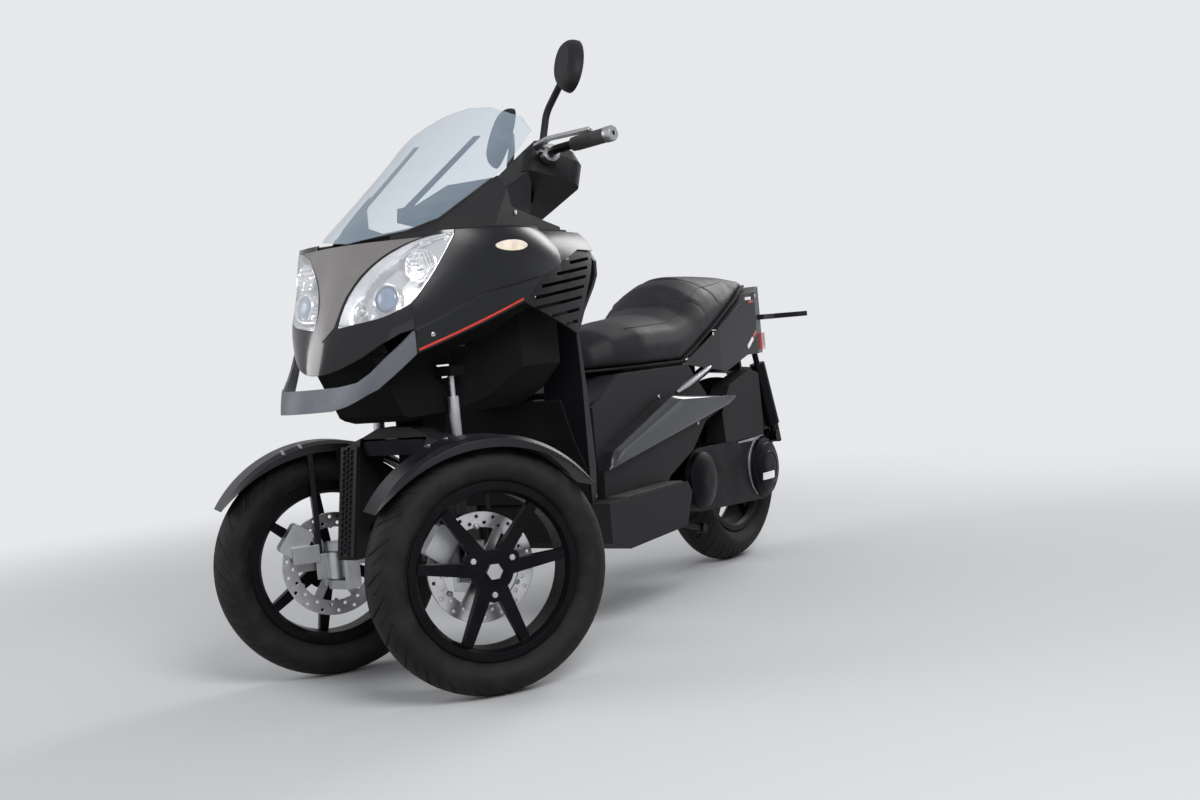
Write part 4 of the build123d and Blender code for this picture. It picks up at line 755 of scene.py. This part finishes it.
# Pale panel down the nose: height and half width of each row
SPINE_ROWS = [
    (776, 1), (790, 13), (803, 24), (824, 27), (844, 30), (866, 36), (886, 46), (906, 58), (926, 76),
    (944, 96), (958, 116), (970, 142), (980, 172),
]
SPINE_GRID = (60, 41)
SPINE_T = 0.0016
SPINE_IN = 0.0006


def add_spine_panel():
    """Its half width follows the rows, and each point lies on the nose, lifted by its thickness."""
    skin = skin_of(frame["nodes"]["nose_fairing"])
    rows = np.array(SPINE_ROWS, float)
    heights = np.linspace(rows[0, 0], rows[-1, 0], SPINE_GRID[0])[:, None]
    share = np.linspace(-1, 1, SPINE_GRID[1])
    x = np.interp(heights, rows[:, 0], rows[:, 1]) * share
    starts = np.stack([x, np.full(SPINE_GRID, float(AHEAD)), heights + 0 * x], -1)
    points, normals = cast(skin, placed(starts).reshape(-1, 3), (0, 1, 0))
    top, low = ((points + normals * lift).reshape(*SPINE_GRID, 3) for lift in (SPINE_T, -SPINE_IN))
    grid = closed_ends(np.concatenate([top, low[:, ::-1]], 1))
    make("spine_panel", [grid], SPINE, 40)


# Headlamps: walls of cover and bowl, the units' depth behind the cover; each unit's place across and up,
# radius, and kind
COVER_WALL = 0.0022
BOWL_WALL = 0.001
UNIT_BACK = 0.016
LAMP_UNITS = [((120, 857), 27, "projector"), ((170, 922), 36, "bowl"), ((68, 840), 17, "bowl")]
# Profiles: the ring's in shares of its radius and metres, the bulb's in metres
RING = [(1, -0.02), (1.2, -0.02), (1.24, 0.002), (1.12, 0.005), (1, 0.001)]
BULB_PROFILE = [(0, -0.024), (0.004, -0.024), (0.0042, -0.008), (0.0035, -0.003), (0, -0.001)]


def lamp_faces(keep_front):
    """The lamp block's own faces: its front skin, or its back and walls."""
    shape = bmesh.new()
    shape.from_mesh(frame["nodes"]["headlights"].data)
    bmesh.ops.remove_doubles(shape, verts=shape.verts, dist=0.00001)
    shape.normal_update()
    drop = [face for face in shape.faces if (face.normal.y < -0.05) != keep_front]
    bmesh.ops.delete(shape, geom=drop, context="FACES")
    return shape


def add_lamps():
    """Clear cover from the block's front skin, a chrome bowl from its back and walls, and in each
    lamp a projector with its lens and a bowl with a bulb."""
    for name, front, wall, finish in (
        ("lamp_cover", True, COVER_WALL, CLEAR), ("lamp_bowl", False, BOWL_WALL, CHROME),
    ):
        shape = lamp_faces(front)
        if not front:
            bmesh.ops.reverse_faces(shape, faces=shape.faces)
        mesh = bpy.data.meshes.new(name)
        shape.to_mesh(mesh)
        shape.free()
        thing = finish_piece(name, mesh, "chassis", finish, 40, ["headlights"])
        solid = thing.modifiers.new("wall", "SOLIDIFY")
        solid.thickness = wall
        solid.offset = -1 if front else 1
    rings, lenses, bowls, bulbs = [], [], [], []
    skin = skin_of(frame["nodes"]["headlights"])
    for way in WAYS:
        for (x, z), radius, kind in LAMP_UNITS:
            spots, normals = cast(skin, [placed((way * x, AHEAD, z))], (0, 1, 0))
            out = unit(normals[0] + np.array([0, -1.2, 0]))
            middle, r = spots[0] - out * UNIT_BACK, radius / 1000
            if kind == "projector":
                rings.append(turned([(r * share, along) for share, along in RING], middle, out))
                lean = np.linspace(0, pi / 2, 12)
                dome = [(r * 0.98 * np.cos(a), -0.004 + r * 0.42 * np.sin(a)) for a in lean]
                lenses.append(turned([(0, -0.008), (r * 0.98, -0.008)] + dome, middle, out))
            else:
                reach = np.linspace(0.12, 1, 14)
                bowl = [(r * t, -0.024 + 0.026 * t * t) for t in reach]
                back = [(r * t * 0.97, -0.026 + 0.026 * t * t) for t in reach[::-1]]
                bowls.append(turned(bowl + back + bowl[:1], middle, out, 48))
                bulbs.append(turned(BULB_PROFILE, middle, out, 16))
    make("lamp_rings", rings, CHROME)
    make("lamp_lenses", lenses, PROJECTOR)
    make("lamp_reflectors", bowls, FACETED)
    make("lamp_bulbs", bulbs, BULB)


# Inner panel of each arch: points of its outer edge behind the fairing, and of its inner edge
WING_OUT = [
    (166, -80, 746), (188, -40, 760), (216, 0, 774), (236, 30, 786), (260, 85, 808), (280, 143, 829),
    (274, 184, 828), (272, 240, 806), (271, 300, 784), (267, 368, 760), (264, 392, 754),
]
WING_IN = [
    (90, -80, 738), (90, 0, 738), (90, 110, 738), (154, 188, 764), (202, 247, 809), (202, 300, 832),
    (202, 392, 843),
]
WING_BOW = 14
WING_T = 3.0


def edge_curve(points, y):
    """The edge's place across and its height, each followed along the vehicle."""
    across, along, height = np.array(points, float).T
    return np.stack([np.interp(y, along, across), y, np.interp(y, along, height)], -1)


def add_arch_wings():
    """A sheet between the two edges that bows upwards: the straight line across, plus a low arc."""
    y = np.linspace(WING_IN[0][1], WING_IN[-1][1], 80)
    share = np.linspace(0, 1, 13)[None, :, None]
    sheet = edge_curve(WING_IN, y)[:, None] * (1 - share) + edge_curve(WING_OUT, y)[:, None] * share
    sheet[..., 2] += WING_BOW * 4 * (share * (1 - share))[..., 0]
    lower = sheet[:, ::-1] - np.array([0, 0, WING_T])
    grid = closed_ends(np.concatenate([sheet, lower], 1))
    both = [placed(grid * [way, 1, 1]) for way in WAYS]
    # The sheets take the darkened black that paints the shade under the fairing
    make("arch_wings", both, SHADE, 40)


# Raised skin of each side wedge: distance back and height along its upper and lower edge, its place
# across, how far it crowns, how high the fold along it stands, and how far it reaches into the panel
WEDGE_TOP = [(566, 402), (595, 446), (757, 502), (920, 559), (1113, 543.5), (1304, 528)]
WEDGE_LOW = [(567, 400.5), (740, 427), (900, 451.5), (1080, 479), (1258, 507), (1304, 527)]
WEDGE_X = 208
WEDGE_CROWN = 7
WEDGE_FOLD = 4.5
WEDGE_IN = 1.2


def add_side_wedges():
    """Between its two edges the skin rises quickly and stays nearly flat, like a pressed panel:
    the crown times one minus the eighth power of the distance from the middle."""
    share = np.linspace(0, 1, 90)
    knots = np.linspace(0, 1, len(WEDGE_TOP))
    edges = []
    for rows in (WEDGE_TOP, WEDGE_LOW):
        edges.append(np.stack([np.interp(share, knots, row) for row in np.array(rows, float).T], -1))
    over = np.linspace(0, 1, 27)[None, :, None]
    flat = edges[0][:, None] * (1 - over) + edges[1][:, None] * over
    rise = (1 - (2 * over[..., 0] - 1) ** 8) * (1 - (2 * share[:, None] - 1) ** 12)
    fold = WEDGE_FOLD * np.exp(-((over[..., 0] - 0.16) / 0.1) ** 2)
    out = WEDGE_X - 1 + (WEDGE_CROWN + fold) * rise
    grid = np.concatenate([out[..., None], flat], -1)
    back = grid[:, ::-1].copy()
    back[..., 0] = WEDGE_X - WEDGE_IN
    grid = closed_ends(np.concatenate([grid, back], 1))
    both = [placed(grid * [way, 1, 1]) for way in WAYS]
    make("side_wedges", both, WEDGE, 30)


# Bar ends and the way that the grips run, along the bar and back; profiles of a weight and a rib, in
# metres; the ribs' number and pitch
BAR_END = (385, 80)
GRIP_WAY = (170, 80)
WEIGHT = [
    (0.0165, 0), (0.0192, 0), (0.0192, 0.017), (0.0165, 0.0215), (0.006, 0.0215), (0.005, 0.016),
    (0, 0.016),
]
RIB = [(0.0168, -0.0012), (0.0179, -0.0007), (0.0179, 0.0007), (0.0168, 0.0012)]
RIBS = 22
RIB_PITCH = 4.1


def add_bar_fittings():
    """Turned metal weights over the grips' ends, and ribs round the grips."""
    weights, ribs = [], []
    for way in WAYS:
        along = unit(np.array([way * GRIP_WAY[0], GRIP_WAY[1], 0]))
        end = np.array([way * BAR_END[0], BAR_END[1], 0])
        start, tip = on_bar(end - along * 20), on_bar(end + along * 1.5)
        heading = unit(tip - start)
        weights.append(turned(WEIGHT, start, heading, 36))
        for step in range(RIBS):
            spot = on_bar(end - along * (28 + step * RIB_PITCH))
            ribs.append(turned(RIB, spot, heading, 28))
    make("bar_weights", weights, SILVER, 50, "handlebar_body")
    make("grip_ribs", ribs, GRIP, 40, "handlebar_body")


# Mirror glass: the heads' half width and height, their lean in degrees, their middle along the bar and up
# the column, and the glass's rows as shares of the head and distances back
MIRROR_HALF = (58, 86)
MIRROR_LEAN = 34
MIRROR_MIDDLE = (240, 220)
GLASS_ROWS = ((0, 12.2), (0.9, 12.2), (0.93, 13.2), (0.9, 13.8), (0, 13.8))


def add_mirror_glass():
    """An oval plate with a rounded edge on each mirror's face, leaning as the head does."""
    plates = []
    angle = np.arange(64) * 2 * pi / 64
    for way in WAYS:
        lean = radians(MIRROR_LEAN * way)
        rows = []
        for share, depth in GLASS_ROWS:
            x, z = share * MIRROR_HALF[0] * np.cos(angle), share * MIRROR_HALF[1] * np.sin(angle)
            across = way * MIRROR_MIDDLE[0] + x * cos(lean) - z * sin(lean)
            height = MIRROR_MIDDLE[1] + x * sin(lean) + z * cos(lean)
            rows.append(on_bar(np.stack([across, np.full(64, depth), height], -1)))
        plates.append(np.array(rows))
    make("mirror_glass", plates, MIRROR, 30, "handlebar_body")


# Dials: place across the pod and up it, and radius; the ring's profile in shares of the radius and metres
DIALS = [(0, 1096, 34), (-68, 1090, 22), (68, 1090, 22)]
DIAL_RING = [(0.9, -0.001), (1, -0.001), (1, 0.004), (0.94, 0.005), (0.9, 0.002), (0.9, -0.001)]
HUB = [(0, 0), (0.003, 0), (0.003, 0.0025), (0, 0.003)]
MARK_ANGLES = range(-40, 221, 26)
NEEDLE_ANGLE = 0.4


def add_dials():
    """Rings, marks every tenth of the sweep and a needle, on the pod's face towards the rider."""
    skin = skin_of(frame["nodes"]["instrument_panel"])
    rings, marks, needles = [], [], []
    for x, z, radius in DIALS:
        spots, normals = cast(skin, [placed((x, 700, z))], (0, -1, 0))
        middle, out, r = spots[0], normals[0], radius / 1000
        rings.append(turned([(r * share, rise) for share, rise in DIAL_RING], middle, out, 48))
        for turn in MARK_ANGLES:
            ray = r * spokes(out, radians(turn))
            line = [middle + ray * t + out * 0.0006 for t in (0.66, 0.74, 0.82)]
            marks.append(swept(line, 0.0009, 6, 0.5))
        ray = r * spokes(out, NEEDLE_ANGLE)
        line = [middle + ray * t + out * 0.0016 for t in (-0.12, 0.2, 0.6)]
        needles.append(swept(line, 0.0008, 6, 0.6))
        needles.append(turned(HUB, middle, out, 20))
    make("dial_rings", rings, STEEL)
    make("dial_marks", marks, WHITE_MARK)
    make("dial_needles", needles, RED_PAINT)


# Foot mats: their ends, foot and top, the ribs' height and pitch, and the section as distances across with
# shares of the height
MAT_ENDS = (572, 868)
MAT_FOOT = 330.2
MAT_TOP = 333
MAT_RIB = 1.4
MAT_PITCH = 16
MAT_X = np.array([164, 164, 168, 242, 246, 246])
MAT_RISE = np.array([0, 0.8, 1, 1, 0.8, 0])


def add_foot_mats():
    """A flat mat with ribs across it: its height is a row of rounded steps along the board."""
    grids = []
    y = np.linspace(*MAT_ENDS, 149)
    height = MAT_TOP + MAT_RIB * soft_step(np.sin((y - MAT_ENDS[0]) * 2 * pi / MAT_PITCH), 0.1, 0.5)
    height[[0, -1]] = MAT_FOOT
    for way in WAYS:
        x = way * MAT_X
        z = MAT_FOOT + (height[:, None] - MAT_FOOT) * MAT_RISE
        grid = np.stack([np.repeat(x[None], len(y), 0), np.repeat(y[:, None], 6, 1), z], -1)
        grids.append(placed(closed_ends(grid)))
    make("foot_mats", grids, GRIP, 40)


# Seat: lengths in metres
SEAT_VOXEL = 0.006
SEAT_FRAMES = 20
SEAT_PRESSURE = 4
SEAT_SWELL = 0.022  # moves of the foam's skin are capped here
SEAT_KEEP = 0.006  # and then scaled down to this
SEAT_HOLD = (0.01, 0.06)  # the move sets in between these heights over the base
SEAT_FOOT = ((900, 690), (1300, 790))  # distance back and height of two points of its base, in millimetres
# Seams across the seat: distance back and half the spread in millimetres; how far they bend back over the
# square of the distance across, in metres
SEAMS = [(1135, 150), (1262, 150)]
SEAM_BOW = 4
SEAM_DEEP = 0.0045
SEAM_HALF = 0.006
SEAM_FROM = (0.74, 0.77)  # heights between which the valleys set in
PIPING_R = 0.0016
# Cord along each side: distance back and height, in millimetres
CORD = [(880, 752), (1072, 758), (1150, 782), (1215, 826), (1280, 852), (1400, 862), (1500, 874)]


def add_seat():
    """The cushion's CAD form is remeshed, swollen as cloth under pressure and smoothed; the move
    fades to nothing towards its base, so that the cushion stays seated on its pan."""
    mesh = frame["nodes"]["seat_cushion"].data.copy()
    close_mesh(mesh)
    seat = bpy.data.objects.new("seat_foam", mesh)
    scene.collection.objects.link(seat)
    remesh = seat.modifiers.new("skin", "REMESH")
    remesh.mode = "VOXEL"
    remesh.voxel_size = SEAT_VOXEL
    ease = seat.modifiers.new("ease", "SMOOTH")
    ease.factor, ease.iterations = 0.5, 26
    mesh = apply_modifiers(seat)
    rest = read_points(mesh)
    swell(seat)
    moved = read_points(seat.data)
    shift = moved - rest
    far = np.linalg.norm(shift, axis=1, keepdims=True)
    shift *= np.minimum(1, SEAT_SWELL / np.maximum(far, 1e-9)) * SEAT_KEEP / SEAT_SWELL
    back, height = placed([(0, y, z) for y, z in SEAT_FOOT])[:, 1:].T
    low = np.interp(rest[:, 1], back, height)
    hold = soft_step(rest[:, 2] - low, *SEAT_HOLD)[:, None]
    rest = rest + shift * hold
    rest = press_seams(rest)
    seat.data.vertices.foreach_set("co", rest.astype(np.float32).ravel())
    smooth = seat.modifiers.new("smooth", "SUBSURF")
    smooth.levels = smooth.render_levels = 1
    mesh = apply_modifiers(seat)
    bpy.data.objects.remove(seat)
    cover = finish_piece("seat_cover", mesh, "seat", SEAT, 0, ["seat_cushion"])
    add_piping(cover)


def read_points(mesh):
    points = np.empty(len(mesh.vertices) * 3, np.float32)
    mesh.vertices.foreach_get("co", points)
    return points.reshape(-1, 3).astype(float)


def apply_modifiers(thing):
    """The mesh as its modifiers leave it takes the place of the one that it had."""
    bpy.context.view_layer.update()
    seen = thing.evaluated_get(bpy.context.evaluated_depsgraph_get())
    mesh = bpy.data.meshes.new_from_object(seen)
    thing.modifiers.clear()
    thing.data = mesh
    return mesh


def swell(seat):
    cloth = seat.modifiers.new("foam", "CLOTH")
    cloth.settings.quality = 4
    cloth.settings.use_pressure = True
    cloth.settings.uniform_pressure_force = SEAT_PRESSURE
    cloth.settings.effector_weights.gravity = 0
    cloth.settings.tension_stiffness = cloth.settings.compression_stiffness = 40
    cloth.point_cache.frame_start, cloth.point_cache.frame_end = 1, SEAT_FRAMES
    for step in range(1, SEAT_FRAMES + 1):
        scene.frame_set(step)
        bpy.context.view_layer.update()
    apply_modifiers(seat)
    scene.frame_set(1)


def press_seams(points):
    """A shallow valley where each seam crosses: depth falls with the distance along the seat."""
    points = points.copy()
    for y, half in SEAMS:
        away = points[:, 1] - (y / 1000 - ORIGIN_BACK) - SEAM_BOW * points[:, 0] ** 2
        edge = soft_step(-np.abs(points[:, 0]), -half / 1000 - 0.02, -half / 1000)
        top = soft_step(points[:, 2], *SEAM_FROM) * edge
        points[:, 2] -= SEAM_DEEP * np.exp(-(away / SEAM_HALF) ** 2) * top
    return points


def add_piping(cover):
    """A thin cord sewn along each seam, on the skin of the finished cover."""
    skin = skin_of(cover)
    cords = []
    for y, half in SEAMS:
        x = np.linspace(-half, half, 90)
        starts = np.stack([x, y + SEAM_BOW * x ** 2 / 1000, np.full(90, 1200.0)], -1)
        path, _ = cast(skin, placed(starts), (0, 0, -1), 0.0002)
        cords.append(swept(path, PIPING_R, 8))
    back, height = np.array(CORD, float).T
    y = np.linspace(back[0], back[-1], 150)
    for way in WAYS:
        starts = np.stack([np.full(150, way * 400.0), y, np.interp(y, back, height)], -1)
        path, _ = cast(skin, placed(starts), (-way, 0, 0), 0.0002)
        cords.append(swept(path, PIPING_R, 8))
    make("seat_piping", cords, PIPING, 60, "seat")


for wheel in WHEELS:
    add_tyre(wheel)
    add_wheel_bolts(wheel)
add_cover_screws()
add_fender_clips()
add_red_lines()
add_drive_cover()
add_tail_details()
add_spine_panel()
add_arch_wings()
add_side_wedges()
add_lamps()
add_bar_fittings()
add_mirror_glass()
add_dials()
add_foot_mats()
add_seat()


def seen_ray(finish):
    """1 for rays that are seen: straight from the camera, or by way of gloss or glass."""
    path = finish.node("ShaderNodeLightPath")
    camera, gloss, glass = (
        Maths(finish, path.outputs["Is %s Ray" % kind]) for kind in ("Camera", "Glossy", "Transmission")
    )
    return camera + gloss + glass


BACKDROP = (0.80, 0.81, 0.83)
WORLD_LEVEL = 0.62
FLOOR_HALF = 40  # metres, as are the distances where its fade starts and ends
FADE_NEAR = 1.7
FADE_FAR = 4.2


def add_stage():
    """A wide pale floor that runs out into a backdrop of the same shade with the distance."""
    mesh = bpy.data.meshes.new("floor")
    half = FLOOR_HALF
    corners = [(-half, -half, 0), (half, -half, 0), (half, half, 0), (-half, half, 0)]
    mesh.from_pydata(corners, [], [(0, 1, 2, 3)])
    floor = bpy.data.objects.new("floor", mesh)
    scene.collection.objects.link(floor)
    pale = Finish("pale_floor", (0.5, 0.505, 0.515), 0.9, Specular_IOR_Level=0.1)
    mesh.materials.append(pale.material)
    x, y, _ = pale.split()
    far = (x ** 2 + y ** 2) ** 0.5
    share = far.step(FADE_NEAR, FADE_FAR) * seen_ray(pale)
    glow = pale.node("ShaderNodeEmission", None, {"Color": (*BACKDROP, 1), "Strength": 1.0})
    both = pale.node("ShaderNodeMixShader", None, {0: share, 1: pale.shader.outputs[0], 2: glow.outputs[0]})
    pale.feed(pale.tree.nodes["Material Output"].inputs["Surface"], both.outputs[0])
    world = bpy.data.worlds.new("studio")
    world.use_nodes = True
    tree = world.node_tree
    plain = tree.nodes["Background"]
    plain.inputs[0].default_value = (*BACKDROP, 1)
    plain.inputs[1].default_value = WORLD_LEVEL
    shown = tree.nodes.new("ShaderNodeBackground")
    shown.inputs[0].default_value = (*BACKDROP, 1)
    path = tree.nodes.new("ShaderNodeLightPath")
    mix = tree.nodes.new("ShaderNodeMixShader")
    for at, socket in enumerate((path.outputs["Is Camera Ray"], plain.outputs[0], shown.outputs[0])):
        tree.links.new(socket, mix.inputs[at])
    tree.links.new(mix.outputs[0], tree.nodes["World Output"].inputs["Surface"])
    scene.world = world


add_camera()
add_stage()
add_lamp("key", (3.2, -2.6, 3.4), (0, 0, 0.5), 2.2, 170)
add_lamp("fill", (-3.5, -3.0, 2.2), (0, -0.4, 0.5), 2.5, 80)
add_lamp("back", (0.5, 4.2, 3.0), (0, 0.3, 0.6), 2.5, 120)
scene.view_settings.view_transform = "Standard"
